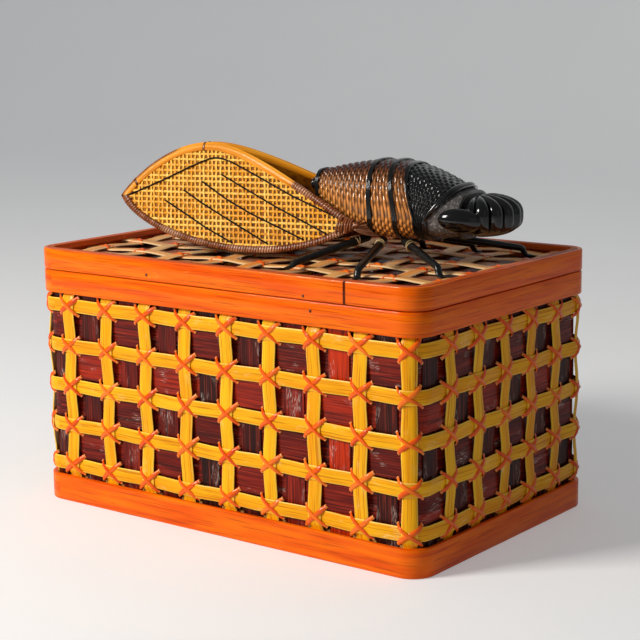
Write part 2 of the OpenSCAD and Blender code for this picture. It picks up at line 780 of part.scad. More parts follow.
// Legs, from a hip under the belly to a foot on the lid. The wanted places of the
// feet are given on the lid from the rear legs to the front legs. A foot that falls
// on a strip across the lid stands on it, and any other stands on the mat in its cell.
hip_stations = [0.385, 0.497, 0.6375];
hip_angle = 58;
hip_gap = 3 * set_gap;
right_feet = [[28, -49], [67.5, -47.5], [98, -23]];
left_feet = [[38, 52], [68, 56], [98, 58]];
end_share = 0.7;
lash_rise = lash_seat + 2 * lash_thickness + weave_gap - lattice_swing - strip_thickness / 2;
ankle_level = lash_rise + weave_gap + ankle_diameter / 2;
strip_room = (upright_width - foot_diameter) / 2;
cell_room = (lid_column_pitch - upright_width - foot_diameter) / 2 - set_gap;
lash_room = lid_row_pitch / 2 - lash_half_height - lash_half_span - foot_diameter / 2 - set_gap;

function nearest(value, lines) =
    let (least = min([for (line = lines) abs(value - line)]))
    [for (line = lines) if (abs(value - line) == least) line][0];
function kept_near(value, line, room) = line + max(-room, min(room, value - line));

// A foot's place in the cicada's own frame, at the level that it stands on
function foot_point(row, side) =
    let (wanted = side > 0 ? left_feet[row] : right_feet[row],
         strip = nearest(wanted[0], lid_column_lines),
         on_strip = abs(wanted[0] - strip) < upright_width / 2,
         x = on_strip ? kept_near(wanted[0], strip, strip_room)
                      : kept_near(wanted[0], nearest(wanted[0], mat_column_lines), cell_room),
         y = kept_near(wanted[1], nearest(wanted[1], mat_row_lines), lash_room))
    [x * cos(figure_turn) + y * sin(figure_turn), y * cos(figure_turn) - x * sin(figure_turn),
     on_strip ? weave_gap : lid_mat_top + weave_gap - lid_surface];
function ankle_point(row, side) = let (foot = foot_point(row, side)) [foot[0], foot[1], ankle_level];
function hip_point(row, side) =
    let (skin = body_point(hip_stations[row], -hip_angle, 0),
         out = leg_diameter / 2 + hip_gap)
    [skin[0], side * (skin[1] + out * cos(hip_angle)), skin[2] - out * sin(hip_angle)];

// Carries children from the Z axis onto the line from one point to another
module along(from, to) {
    line = to - from;
    translate(from)
        rotate([0, acos(line[2] / norm(line)), atan2(line[1], line[0])])
            children();
}

// A ring of points round a centre, facing along a line
leg_sides = 12;
function ring_round(centre, line, across, radius) =
    let (facing = line / norm(line), rise = cross(facing, across))
    [for (j = [0 : leg_sides - 1])
        let (a = 360 * j / leg_sides)
        centre + radius * (cos(a) * across + sin(a) * rise)];

module leg(row, side) {
    hip = hip_point(row, side);
    ankle = ankle_point(row, side);
    foot = foot_point(row, side);
    down = [0, 0, -1];
    line = (ankle - hip) / norm(ankle - hip);
    level = cross(line, down);
    across = level / norm(level);
    thigh = leg_diameter / 2;
    color("black")
        on_lid()
            skinned([ring_round(hip - end_share * thigh * line, line, across, end_share * thigh),
                     ring_round(hip, line, across, thigh),
                     ring_round(ankle, line + down, across, ankle_diameter / 2),
                     ring_round(foot, down, across, foot_diameter / 2)],
                    hip - thigh * line, foot);
}

tie_distance = 6.5;
module leg_ties() {
    color("burlywood")
        on_lid()
            for (row = [0 : len(hip_stations) - 1])
                for (side = [-1, 1])
                    along(hip_point(row, side), ankle_point(row, side))
                        translate([0, 0, tie_distance])
                            rotate_extrude()
                                translate([leg_diameter / 2 + tie_thickness / 2 + weave_gap, 0])
                                    circle(d = tie_thickness, $fn = 16);
}

// Wings: flat leaf frames, pitched like a roof over the tail. Their roots keep their
// place beside the abdomen, and the tips follow from the length.
wing_root_x = 43.5;
wing_root_rise = 4.5;
wing_flare = 23.3;
wing_fall = 3.75;
curve_steps = 10;

function bezier(a, b, c, d, t) =
    pow(1 - t, 3) * a + 3 * t * pow(1 - t, 2) * b + 3 * t * t * (1 - t) * c + pow(t, 3) * d;
function curve(a, b, c, d) = [for (i = [0 : curve_steps - 1]) bezier(a, b, c, d, i / curve_steps)];
wing_tip = [0, 0];
wing_top = [wing_peak_at, wing_peak];
wing_root = [wing_length, wing_root_rise];
wing_outline = concat(
    curve(wing_tip, [0.12 * wing_peak_at, 0.38 * wing_peak], [0.5 * wing_peak_at, wing_peak], wing_top),
    curve(wing_top, wing_top + [0.24 * (wing_length - wing_peak_at), 0],
          [wing_length - 0.37 * (wing_length - wing_peak_at), 0.5 * wing_peak], wing_root),
    curve(wing_root, [0.73 * wing_length, -1.58 * wing_drop],
          [0.13 * wing_length, -1.08 * wing_drop], wing_tip));

// Distance of a point from the straight line between two others
function edge_distance(point, from, to) =
    let (line = to - from,
         share = max(0, min(1, (point - from) * line / (line * line))))
    norm(point - from - share * line);

// An outline moved inwards, without the points that would come too close to it
inset_share = 0.9;
function inset(points, distance) =
    let (n = len(points),
         moved = [for (i = [0 : n - 1])
             let (along_line = points[(i + 1) % n] - points[(i + n - 1) % n])
             points[i] + distance * [along_line[1], -along_line[0]] / norm(along_line)])
    [for (p = moved)
        if (min([for (i = [0 : n - 1]) edge_distance(p, points[i], points[(i + 1) % n])])
            > inset_share * distance) p];

// A point of the wing's plane after its dip and its fall
function tipped_wing(point, level) =
    let (lift = point[1] * sin(wing_dip) + level * cos(wing_dip),
         side = point[1] * cos(wing_dip) - level * sin(wing_dip))
    [point[0] * cos(wing_fall) + lift * sin(wing_fall), side,
     lift * cos(wing_fall) - point[0] * sin(wing_fall)];

// The yaw sets the root off from the peak by the flare, across the body
peak_to_root = tipped_wing(wing_root, 0) - tipped_wing(wing_top, -frame_thickness / 2);
wing_yaw = atan2(-peak_to_root[1], peak_to_root[0])
           - asin(wing_flare / norm([peak_to_root[0], peak_to_root[1]]));

// Where a point of the wing's plane comes to lie, before the wing is set on the lid
function turned_wing(point, level) =
    let (p = tipped_wing(point, level))
    [p[0] * cos(wing_yaw) - p[1] * sin(wing_yaw), p[0] * sin(wing_yaw) + p[1] * cos(wing_yaw), p[2]];

// The wings meet along the ridge, and their lower edges hang just above the lid
wing_corners = [for (p = wing_outline) for (level = [-1, 1]) turned_wing(p, level * frame_thickness / 2)];
wing_tip_offset = max([for (p = wing_corners) p[1]]) + set_gap;
wing_tip_height = wing_edge_height - min([for (p = wing_corners) p[2]]);
wing_tip_x = wing_root_x - turned_wing(wing_root, 0)[0];

module on_wing(side) {
    mirror([0, side > 0 ? 1 : 0, 0])
        translate([wing_tip_x, -wing_tip_offset, wing_tip_height])
            rotate([0, 0, wing_yaw])
                rotate([0, wing_fall, 0])
                    rotate([wing_dip, 0, 0])
                        children();
}

module wing_frame(side) {
    color("goldenrod")
        on_lid()
            on_wing(side)
                translate([0, 0, -frame_thickness / 2])
                    linear_extrude(frame_thickness)
                        difference() {
                            polygon(wing_outline);
                            wing_opening(0);
                        }
}

module wing_opening(gap) {
    polygon(inset(wing_outline, frame_width + gap));
}

net_thickness = 0.5;
module wing_net(side) {
    first = 2 * frame_width;
    last = wing_length - 3 * frame_width;
    columns = [first : net_pitch : last];
    rows = [for (k = [-floor(wing_drop / net_pitch) : floor(wing_peak / net_pitch)]) k * net_pitch];
    color("goldenrod")
        on_lid()
            on_wing(side) {
                translate([0, 0, -net_thickness])
                    linear_extrude(net_thickness)
                        intersection() {
                            wing_opening(weave_gap);
                            for (u = columns)
                                translate([u - net_splint_width / 2, -2 * wing_drop])
                                    square([net_splint_width, 2 * (wing_drop + wing_peak)]);
                        }
                linear_extrude(net_thickness)
                    intersection() {
                        wing_opening(weave_gap);
                        for (v = rows)
                            translate([first, v - net_splint_width / 2])
                                square([last - first, net_splint_width]);
                    }
            }
}

// Veins: two that meet below the wing's peak, and slanting ones under them
vein_count = 4;
vein_slant = -16.5;
vein_line = [cos(vein_slant), sin(vein_slant)];
vein_first = [34, 1.5];
vein_step = [10.6, 6];
vein_lengths = [50, 63, 73, 80];
vein_peak_drop = 8.4;
vein_gap = 2;
module rod(from, to, level) {
    line = to - from;
    translate([from[0], from[1], level])
        rotate([0, 0, atan2(line[1], line[0])])
            rotate([0, 90, 0]) cylinder(norm(line), d = vein_diameter, $fn = 16);
}

module wing_veins(side) {
    level = net_thickness + vein_diameter / 2 + weave_gap;
    bend = [wing_peak_at, wing_peak - vein_peak_drop];
    color("black")
        on_lid()
            on_wing(side)
                intersection() {
                    linear_extrude(level + vein_diameter) wing_opening(weave_gap);
                    union() {
                        rod([0, 0], bend, level);
                        rod(bend + [vein_gap, 0], wing_root, level);
                        for (i = [0 : vein_count - 1])
                            let (start = vein_first + i * vein_step)
                                rod(start, start + vein_lengths[i] * vein_line, level);
                    }
                }
}

// Pegs that tie the wings' roots to the sides of the body
peg_cut_steps = 10;
module wing_ties() {
    level = -frame_thickness / 2 - set_gap;
    seat = turned_wing(wing_root - [frame_width, 0], level);
    color("rosybrown")
        on_lid()
            for (side = [0, 1])
                mirror([0, side, 0])
                    difference() {
                        translate([wing_tip_x + seat[0], 0, wing_tip_height + seat[2]])
                            rotate([90, 0, 0]) cylinder(box_width / 2, d = wing_peg_diameter);
                        body_loft(0, abdomen_end, peg_cut_steps, set_gap);
                        on_wing(-1)
                            translate([0, -wing_length, level])
                                cube([2 * wing_length, 2 * wing_length, box_width]);
                    }
}

row_names = [for (i = [1 : hoop_count]) str("lattice_hoop_", i)];
weaver_names = [for (i = [1 : weaver_count]) str("wall_weaver_", i)];
leg_names = ["rear_leg", "middle_leg", "front_leg"];
hands = ["right", "left"];

base_band();
foot_hoop();
base_inner_hoop();
rim_band();
lid_collar();
floor_long();
floor_cross();
for (row = [0 : hoop_count - 1])
    lattice_hoop(row);
for (row = [0 : weaver_count - 1])
    wall_weaver(row);
for (side = [0 : 3])
    uprights(side);
for (side = [0 : 3])
    wall_stakes(side);
for (side = [0 : 3])
    lashings(side);
lid_band();
lid_ledge();
lid_hold_down();
lid_mat_long();
lid_mat_cross();
lid_lattice_long();
lid_lattice_cross();
lid_lashings();
abdomen();
abdomen_bands();
tail_knob();
thorax();
neck_plate();
head();
for (hand = [0, 1])
    eye(2 * hand - 1);
for (hand = [0, 1])
    for (row = [0 : 2])
        leg(row, 2 * hand - 1);
leg_ties();
for (hand = [0, 1])
    wing_frame(2 * hand - 1);
for (hand = [0, 1])
    wing_net(2 * hand - 1);
for (hand = [0, 1])
    wing_veins(2 * hand - 1);
wing_ties();
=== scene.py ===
# %% [markdown]
# # A woven bamboo box with a cicada on its lid
# The box is split bamboo: three bent and lacquered bands, a golden lattice lashed with
# cane, and a mat of stained splints behind it. A cicada woven from cane stands on the lid.
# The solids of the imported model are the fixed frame. Each piece below is a finer surface
# that lies where its solid lies, and rides on the same body, the box or the lid.

# %% The fixed frame
import math

import bpy
import numpy as np
from mathutils import Matrix


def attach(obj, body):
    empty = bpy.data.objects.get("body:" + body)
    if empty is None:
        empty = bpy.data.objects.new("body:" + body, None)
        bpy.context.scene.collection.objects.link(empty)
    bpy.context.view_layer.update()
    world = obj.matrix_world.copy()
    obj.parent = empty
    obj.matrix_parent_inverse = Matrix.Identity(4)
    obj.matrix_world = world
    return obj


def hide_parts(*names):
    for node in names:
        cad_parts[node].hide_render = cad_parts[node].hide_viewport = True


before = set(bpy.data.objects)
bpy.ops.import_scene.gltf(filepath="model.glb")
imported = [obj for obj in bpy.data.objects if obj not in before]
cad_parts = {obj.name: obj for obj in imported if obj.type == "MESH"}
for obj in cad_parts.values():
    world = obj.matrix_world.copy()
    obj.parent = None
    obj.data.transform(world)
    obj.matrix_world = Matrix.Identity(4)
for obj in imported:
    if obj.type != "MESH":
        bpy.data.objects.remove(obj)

MM = 0.001
dice = np.random.default_rng(11)
scene = bpy.context.scene
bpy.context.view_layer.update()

# %% [markdown]
# ## Where the viewer stands
# The camera was found from the box's edges: a long lens, a little above the lid, that sees
# the long front face and the right end. Its axes are written out as three unit vectors
# (right, up, back), because that is exactly what a camera's matrix holds.

# %% The camera
CAMERA_AT = np.array([549.06, -705.10, 266.43]) * MM


def stand(name, data, place, axes):
    """Links a camera or a lamp at a place, with its X, Y and Z axes as three unit vectors."""
    obj = bpy.data.objects.new(name, data)
    scene.collection.objects.link(obj)
    turn = np.eye(4)
    turn[:3, :3] = np.stack(axes, axis=1)
    turn[:3, 3] = place
    obj.matrix_world = Matrix(turn.tolist())
    return obj


yaw, pitch, roll = np.radians([-37.553, 10.610, -0.702])
ahead = np.array([math.sin(yaw) * math.cos(pitch), math.cos(yaw) * math.cos(pitch), -math.sin(pitch)])
level_right = np.array([math.cos(yaw), -math.sin(yaw), 0.0])
level_up = np.cross(level_right, ahead)
right = math.cos(roll) * level_right + math.sin(roll) * level_up
up = math.cos(roll) * level_up - math.sin(roll) * level_right
lens = bpy.data.cameras.new("viewer")
lens.sensor_width = 36.0
lens.sensor_fit = "HORIZONTAL"
lens.lens = 95.6
lens.clip_start = 0.05
scene.camera = stand("viewer", lens, CAMERA_AT, (right, up, -ahead))
scene.view_settings.view_transform = "Standard"
print("camera at", np.round(CAMERA_AT, 3).tolist(), "lens", lens.lens)

# %% [markdown]
# ## Light and floor
# One broad lamp at the front left leaves the right end in shade, as sunlight does. A weak
# lamp and a pale world fill the shadows. The lamps are set so that a colour turned to the
# key lamp renders about as it is written. The floor rises behind into a backdrop.

# %% Lamps, world and floor
AIM = (0.0, 0.0, 0.08)


def unit(vectors):
    """Directions: each vector over its own length."""
    return vectors / np.linalg.norm(vectors, axis=-1, keepdims=True)


def lamp(name, place, watts, size, colour):
    """A square area lamp at a place, turned so that its own -Z axis points at the aim."""
    light = bpy.data.lights.new(name, "AREA")
    light.energy = watts
    light.size = size
    light.color = colour
    back = unit(np.subtract(place, AIM))
    side = unit(np.cross([0.0, 0.0, 1.0], back))
    stand(name, light, place, (side, np.cross(back, side), back))


lamp("key", (-0.62, -1.05, 0.78), watts=19.0, size=0.4, colour=(1.0, 0.97, 0.92))
lamp("fill", (1.3, -0.7, 0.6), watts=0.35, size=0.9, colour=(0.92, 0.96, 1.0))
scene.world = bpy.data.worlds.new("studio")
scene.world.use_nodes = True
sky = scene.world.node_tree.nodes["Background"].inputs
sky["Color"].default_value = (0.95, 0.97, 1.0, 1.0)
sky["Strength"].default_value = 0.21


def backdrop_surface(width, front, rear, height, bend):
    """A floor that turns up into a wall: a line, a quarter circle and a line, carried along X."""
    a = np.radians(np.linspace(0, 90, 13))
    y = np.concatenate([[front], rear + bend * np.sin(a), [rear + bend]])
    z = np.concatenate([[0.0], bend * (1 - np.cos(a)), [height]])
    x = np.array([-width / 2, width / 2])
    points = np.stack([np.tile(x, len(y)), np.repeat(y, 2), np.repeat(z, 2)], axis=1)
    first = 2 * np.arange(len(y) - 1)
    return points, np.stack([first, first + 1, first + 3, first + 2], axis=1)


floor_points, floor_faces = backdrop_surface(width=12.0, front=-4.0, rear=1.6, height=4.0, bend=1.2)
floor_mesh = bpy.data.meshes.new("pale_floor")
floor_mesh.from_pydata(floor_points.tolist(), [], floor_faces.tolist())
floor_mesh.polygons.foreach_set("use_smooth", np.ones(len(floor_faces), bool))
pale_floor = bpy.data.objects.new("pale_floor", floor_mesh)
scene.collection.objects.link(pale_floor)
print("lamps 2, floor faces", len(floor_faces))

# %% [markdown]
# ## How a strip becomes a surface
# Nearly everything here is a strip: a flat outline carried along a path. Each shape is an
# array of points (copies, rows along the path, columns round the outline), and one function
# skins such grids. It also lays a UV map in millimetres, along and around, so that grain can
# follow a bent strip, and stores plain numbers that the materials read.

# %% The skin of a strip


def skin(name, points, along, around, loop=False, sharp=42.0, **numbers):
    """One mesh over K grids of points (K, rows, columns, 3), in millimetres.

    Quads join neighbouring rows, and the last column joins the first. With loop the last row
    joins the first as well; otherwise a flat cap closes each end. The sum of the pyramids from
    a grid's middle to its quads tells which way its faces look, and a negative one is reversed.
    Along and around are the map's values, or one length that is divided evenly.
    """
    points = np.asarray(points, float)
    copies, rows, columns = points.shape[:3]
    spans = rows if loop else rows - 1
    row, column = np.arange(spans)[:, None], np.arange(columns)[None, :]
    row_next, column_next = (row + 1) % rows, (column + 1) % columns
    quads = np.stack([row * columns + column, row_next * columns + column,
                      row_next * columns + column_next, row * columns + column_next], -1).reshape(-1, 4)
    flat = points.reshape(copies, -1, 3)
    corner = flat[:, quads] - flat.mean(axis=1)[:, None, None, :]
    pyramids = (np.cross(corner[:, :, 0], corner[:, :, 1]) * corner[:, :, 2]).sum(-1)
    pyramids += (np.cross(corner[:, :, 0], corner[:, :, 2]) * corner[:, :, 3]).sum(-1)
    reverse = pyramids.sum(axis=1)[:, None, None] < 0
    along = np.linspace(0, along, spans + 1) if np.ndim(along) == 0 else along
    around = np.linspace(0, around, columns + 1) if np.ndim(around) == 0 else around
    along = np.broadcast_to(along, (copies, spans + 1))
    u = np.stack([along[:, :-1], along[:, 1:], along[:, 1:], along[:, :-1]], -1)[:, :, None, :]
    v = np.stack([around[:-1], around[:-1], around[1:], around[1:]], -1)
    uv = np.stack(np.broadcast_arrays(u, v), -1).reshape(copies, -1, 4, 2)
    start = (np.arange(copies) * rows * columns)[:, None, None]
    corners = quads + start
    loops = [np.where(reverse, corners[:, :, ::-1], corners).ravel()]
    uvs = [np.where(reverse[..., None], uv[:, :, ::-1], uv).ravel()]
    sizes = [np.full(copies * len(quads), 4)]
    if not loop:
        ends = start + np.stack([np.arange(columns), (rows - 1) * columns + np.arange(columns)[::-1]])
        loops.append(np.where(reverse, ends[:, :, ::-1], ends).ravel())
        uvs.append(np.stack(np.broadcast_arrays(along[:, [0, -1], None], around[:-1]), -1).ravel())
        sizes.append(np.full(2 * copies, columns))
    loops, sizes = np.concatenate(loops), np.concatenate(sizes)
    mesh = bpy.data.meshes.new(name)
    mesh.vertices.add(copies * rows * columns)
    mesh.vertices.foreach_set("co", (points * MM).ravel())
    mesh.loops.add(len(loops))
    mesh.loops.foreach_set("vertex_index", loops)
    mesh.polygons.add(len(sizes))
    mesh.polygons.foreach_set("loop_start", np.concatenate([[0], np.cumsum(sizes)[:-1]]))
    mesh.uv_layers.new(name="strip").data.foreach_set("uv", np.concatenate(uvs))
    for key, values in numbers.items():
        layer = mesh.attributes.new(key, "FLOAT", "POINT")
        full = np.broadcast_to(values, (copies, rows, columns)).astype(np.float32)
        layer.data.foreach_set("value", np.ascontiguousarray(full).ravel())
    mesh.update(calc_edges=True)
    mesh.validate()
    mesh.polygons.foreach_set("use_smooth", np.ones(len(mesh.polygons), bool))
    mesh.set_sharp_from_angle(angle=math.radians(sharp))
    return mesh


made = {}


def piece(name, part, points, along, around, **more):
    """Skins a piece and puts it on its body. The part is (body, slot, material, solids it stands for); the
    slot is not used.
    """
    body, slot, material, *solids = part
    mesh = skin(name, points, along, around, **more)
    mesh.materials.append(material)
    obj = bpy.data.objects.new(name, mesh)
    scene.collection.objects.link(obj)
    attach(obj, body)
    if solids:
        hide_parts(*solids)
    made[name] = sum(len(p.vertices) - 2 for p in mesh.polygons)


def outline_run(x, y):
    """Distance along a closed outline at each of its points, with the full length last."""
    return np.append(0.0, np.cumsum(np.hypot(np.diff(np.append(x, x[0])), np.diff(np.append(y, y[0])))))


def turns(count):
    """Equal angles of one full turn."""
    return 2 * np.pi * np.arange(count) / count


def ease(value):
    """A smooth step: 0 below 0, 1 above 1, and 3v^2 - 2v^3 between."""
    v = np.clip(value, 0.0, 1.0)
    return v * v * (3 - 2 * v)


def power(value, exponent):
    """A power that keeps the sign of its base."""
    return np.sign(value) * np.abs(value) ** exponent


print("a smooth step at a quarter:", ease(0.25))

# %% [markdown]
# ## A bench for materials
# A material is a small chain of nodes. These helpers add one node at a time, link it or set
# its numbers, and hand back the socket that the next step needs.

# %% Small helpers for shader nodes


def paint(red, green, blue):
    """A screen colour from 0 to 255 as the linear colour that a socket takes."""
    c = np.array([red, green, blue]) / 255.0
    linear = np.where(c <= 0.04045, c / 12.92, ((c + 0.055) / 1.055) ** 2.4)
    return (*linear.tolist(), 1.0)


def fill(tree, node, inputs):
    """Links each input that is given a socket, and sets any other to its value."""
    for key, value in inputs.items():
        if isinstance(value, bpy.types.NodeSocket):
            tree.links.new(value, node.inputs[key])
        else:
            node.inputs[key].default_value = value


def add(tree, kind, inputs=None, **settings):
    """Adds a node with its settings and inputs."""
    node = tree.nodes.new(kind)
    for key, value in settings.items():
        setattr(node, key, value)
    fill(tree, node, inputs or {})
    return node


def sums(tree, operation, *values):
    """One arithmetic node on one to three values."""
    return add(tree, "ShaderNodeMath", dict(enumerate(values)), operation=operation).outputs[0]


def times(tree, value, factor):
    """A value times a factor."""
    return sums(tree, "MULTIPLY", value, factor)


def spread(tree, value, low, high, to_low=0.0, to_high=1.0):
    """Stretches a range of a value to another range and holds it there."""
    return add(tree, "ShaderNodeMapRange", {"Value": value, "From Min": low, "From Max": high,
                                            "To Min": to_low, "To Max": to_high}).outputs["Result"]


def between(tree, share, low, high):
    """A number between two others, by a share of 0 to 1."""
    return spread(tree, share, 0.0, 1.0, low, high)


def mixed(tree, share, first, second):
    """Mixes two colours by a share."""
    return add(tree, "ShaderNodeMix", {0: share, 6: first, 7: second}, data_type="RGBA").outputs[2]


def layers(tree, colour, *coats):
    """Lays coats of (share, colour) over a colour, one after another."""
    for share, coat in coats:
        colour = mixed(tree, share, colour, coat)
    return colour


def stored(tree, name):
    """A number that a piece keeps for each point."""
    return add(tree, "ShaderNodeAttribute", attribute_name=name).outputs["Fac"]


def strip_map(tree):
    """The piece's own map: millimetres along the strip and round it."""
    return add(tree, "ShaderNodeUVMap", uv_map="strip").outputs["UV"]


def millimetres(tree):
    """Object coordinates in millimetres."""
    at = add(tree, "ShaderNodeTexCoord").outputs["Object"]
    return add(tree, "ShaderNodeVectorMath", {0: at, 1: (1000.0, 1000.0, 1000.0)},
               operation="MULTIPLY").outputs["Vector"]


def cloud(tree, at, scale=1.0, detail=2.0, roughness=0.55):
    """Noise between about 0.25 and 0.75."""
    return add(tree, "ShaderNodeTexNoise", {"Vector": at, "Scale": scale, "Detail": detail,
                                            "Roughness": roughness}).outputs["Fac"]


def relief(tree, height, strength, distance):
    """A bump from a height; distance is in metres."""
    return add(tree, "ShaderNodeBump", {"Height": height, "Strength": strength,
                                        "Distance": distance}).outputs["Normal"]


def ramp(tree, value, stops):
    """A colour from a value, through stops of (place, colour)."""
    node = add(tree, "ShaderNodeValToRGB", {"Fac": value})
    elements = node.color_ramp.elements
    elements[0].position, elements[0].color = stops[0]
    elements[1].position, elements[1].color = stops[-1]
    for at, colour in stops[1:-1]:
        elements.new(at).color = colour
    return node.outputs["Color"]


def new_material(name):
    """An empty material and its nodes, ready for links."""
    material = bpy.data.materials.new(name)
    material.use_nodes = True
    return material, material.node_tree


def coated(material, colour, rough, normal=None, gloss=0.5, coat=0.0, coat_rough=0.03):
    """Ends a material: joins colour, roughness and normal to its shader, and sets gloss and clear coat."""
    inputs = {"Base Color": colour, "Roughness": rough, "Specular IOR Level": gloss,
              "Coat Weight": coat, "Coat Roughness": coat_rough}
    if normal is not None:
        inputs["Normal"] = normal
    fill(material.node_tree, material.node_tree.nodes["Principled BSDF"], inputs)
    return material


def new_group(name, inputs, outputs):
    """An empty node group that takes a map and some numbers, and puts out numbers."""
    group = bpy.data.node_groups.new(name, "ShaderNodeTree")
    group.interface.new_socket("Map", in_out="INPUT", socket_type="NodeSocketVector")
    for labels, way in ((inputs, "INPUT"), (outputs, "OUTPUT")):
        for label in labels:
            group.interface.new_socket(label, in_out=way, socket_type="NodeSocketFloat")
    return group, group.nodes.new("NodeGroupInput").outputs, group.nodes.new("NodeGroupOutput").inputs


print("middle grey as a linear colour:", np.round(paint(128, 128, 128), 3).tolist())

# %% [markdown]
# ## Two effects that many finishes share
# Split bamboo shows fine fibres along its length and broad streaks of darker and paler wood.
# Old varnish also has scuffs: pale scratches in patches. Both are node groups that read a
# map in millimetres, so the same fibre is as fine on a wide band as on a narrow strip.

# %% Bamboo fibres and scuffs


def stretched(tree, at, along, across, seed, salt):
    """Squeezes a map along and across, and moves it to its own layer of noise by the seed."""
    part = add(tree, "ShaderNodeSeparateXYZ", {0: at}).outputs
    layer = sums(tree, "MULTIPLY_ADD", seed, 37.0, salt)
    return add(tree, "ShaderNodeCombineXYZ", {0: times(tree, part[0], along),
                                              1: times(tree, part[1], across), 2: layer}).outputs[0]


tree, given, result = new_group("bamboo_fibres", ["Seed", "Fineness"], ["Fibre", "Streak", "Height"])
bamboo_fibres = tree
fine = cloud(tree, stretched(tree, given["Map"], 0.03, given["Fineness"], given["Seed"], 0.0), detail=3.0)
broad = cloud(tree, stretched(tree, given["Map"], 0.018, 0.3, given["Seed"], 5.0))
fine = spread(tree, fine, 0.36, 0.64)
broad = spread(tree, broad, 0.34, 0.66)
tree.links.new(fine, result["Fibre"])
tree.links.new(broad, result["Streak"])
tree.links.new(sums(tree, "MULTIPLY_ADD", fine, 0.7, times(tree, broad, 0.3)), result["Height"])

tree, given, result = new_group("scuffs", ["Seed", "Amount"], ["Mask"])
scuffs = tree
patch = cloud(tree, stretched(tree, given["Map"], 0.06, 0.13, given["Seed"], 9.0))
edge = sums(tree, "SUBTRACT", 0.72, times(tree, given["Amount"], 0.3))
patch = spread(tree, times(tree, sums(tree, "SUBTRACT", patch, edge), 9.0), 0.0, 1.0)
scratch = cloud(tree, stretched(tree, given["Map"], 0.35, 2.6, given["Seed"], 14.0), detail=4.0)
tree.links.new(times(tree, patch, spread(tree, scratch, 0.5, 0.66)), result["Mask"])


def fibres(tree, at, seed, fineness):
    """The fibre group in a material: its Fibre, Streak and Height."""
    return add(tree, "ShaderNodeGroup", {"Map": at, "Seed": seed, "Fineness": fineness},
               node_tree=bamboo_fibres).outputs


def worn_strip(tree, fineness, wear):
    """A strip's tint, the fibres on its own map, and the mask of its scuffs."""
    at, tint = strip_map(tree), stored(tree, "tint")
    worn = add(tree, "ShaderNodeGroup", {"Map": at, "Seed": tint, "Amount": wear}, node_tree=scuffs)
    return tint, fibres(tree, at, tint, fineness), worn.outputs["Mask"]


print("groups", [group.name for group in bpy.data.node_groups])

# %% [markdown]
# ## Finishes of the box
# The bands are stained orange and lacquered: a deep colour with fibres under a clear coat,
# with a dark line where the band's ends meet, widened into a painted shadow of the lap's step.
# The lattice is golden bamboo skin with pale shaved edges, brightened further as a painted
# highlight, and painted paler on the lid, a painted sheen for the glare on the lid's top; the
# lid's weavers get the same painted sheen. Splints of the mat were stained in several
# reds and browns before weaving, so each splint carries its own tint. Cut ends of the lashing
# cane are pale.

# %% The lacquered bands


def band_finish(name, deep, bright):
    """Orange lacquer: streaks between two tones, dark fibres, the line of a lap with its painted shadow,
    and scuffs.
    """
    material, tree = new_material(name)
    _, grain, worn = worn_strip(tree, 1.3, 0.16)
    # The lap's line: a dark joint, widened into a painted shadow of the step beside it.
    seam = spread(tree, stored(tree, "seam"), 0.3, 0.9, 1.0, 0.0)
    colour = layers(tree, mixed(tree, grain["Streak"], deep, bright),
                    (spread(tree, grain["Fibre"], 0.0, 0.35, 0.55, 0.0), paint(172, 44, 0)),
                    (seam, paint(74, 16, 4)), (times(tree, worn, 0.5), paint(255, 158, 60)))
    dip = sums(tree, "SUBTRACT", grain["Height"], times(tree, seam, 3.0))
    return coated(material, colour, between(tree, grain["Height"], 0.36, 0.24),
                  relief(tree, dip, 0.35, 0.0002), gloss=0.05, coat=0.2, coat_rough=0.08)


orange_lacquer = band_finish("orange_lacquer", paint(230, 84, 0), paint(252, 118, 0))
print("bands:", orange_lacquer.name)

# %% The golden lattice


def lattice_finish(name, deep, bright, line, edge):
    """Bamboo skin: streaks between two tones, dark fibres, pale shaved edges brightened as a painted
    highlight, and whitish scuffs.
    """
    material, tree = new_material(name)
    tint, grain, worn = worn_strip(tree, 1.6, 0.42)
    shade = sums(tree, "MULTIPLY_ADD", tint, 0.5, times(tree, grain["Streak"], 0.6))
    # The shaved edges are paler wood, brightened further as a painted highlight on the bevels.
    rim = spread(tree, sums(tree, "ABSOLUTE", stored(tree, "across")), 0.8, 0.9)
    colour = layers(tree, mixed(tree, shade, deep, bright),
                    (spread(tree, grain["Fibre"], 0.0, 0.4, 0.7, 0.0), line),
                    (times(tree, rim, 0.6), edge), (times(tree, worn, 0.6), paint(255, 230, 172)))
    return coated(material, colour, between(tree, grain["Height"], 0.5, 0.34),
                  relief(tree, grain["Height"], 0.4, 0.00015), gloss=0.08, coat=0.12, coat_rough=0.15)


golden_bamboo = lattice_finish("golden_bamboo", paint(236, 150, 2), paint(252, 190, 20),
                               paint(190, 104, 0), paint(255, 212, 84))
# On the lid the lattice is painted paler and more peach: a painted sheen for the glare on its top.
sheen_painted_bamboo = lattice_finish("sheen_painted_bamboo", paint(250, 150, 62), paint(255, 206, 132),
                              paint(176, 84, 36), paint(255, 228, 184))
print("lattice:", golden_bamboo.name, "on the wall,", sheen_painted_bamboo.name, "on the lid")

# %% The stained splints of the mat
STAINS = [(0.0, paint(38, 12, 8)), (0.2, paint(66, 16, 10)), (0.42, paint(102, 16, 6)),
          (0.6, paint(142, 34, 18)), (0.8, paint(176, 40, 4)), (1.0, paint(200, 50, 2))]
# Paler stains for the lid's weavers: a painted sheen for the glare on the lid's top.
SHEEN_PAINTED_STAINS = [(0.0, paint(170, 100, 70)), (0.4, paint(226, 154, 112)), (0.7, paint(248, 196, 150)),
         (1.0, paint(240, 140, 80))]


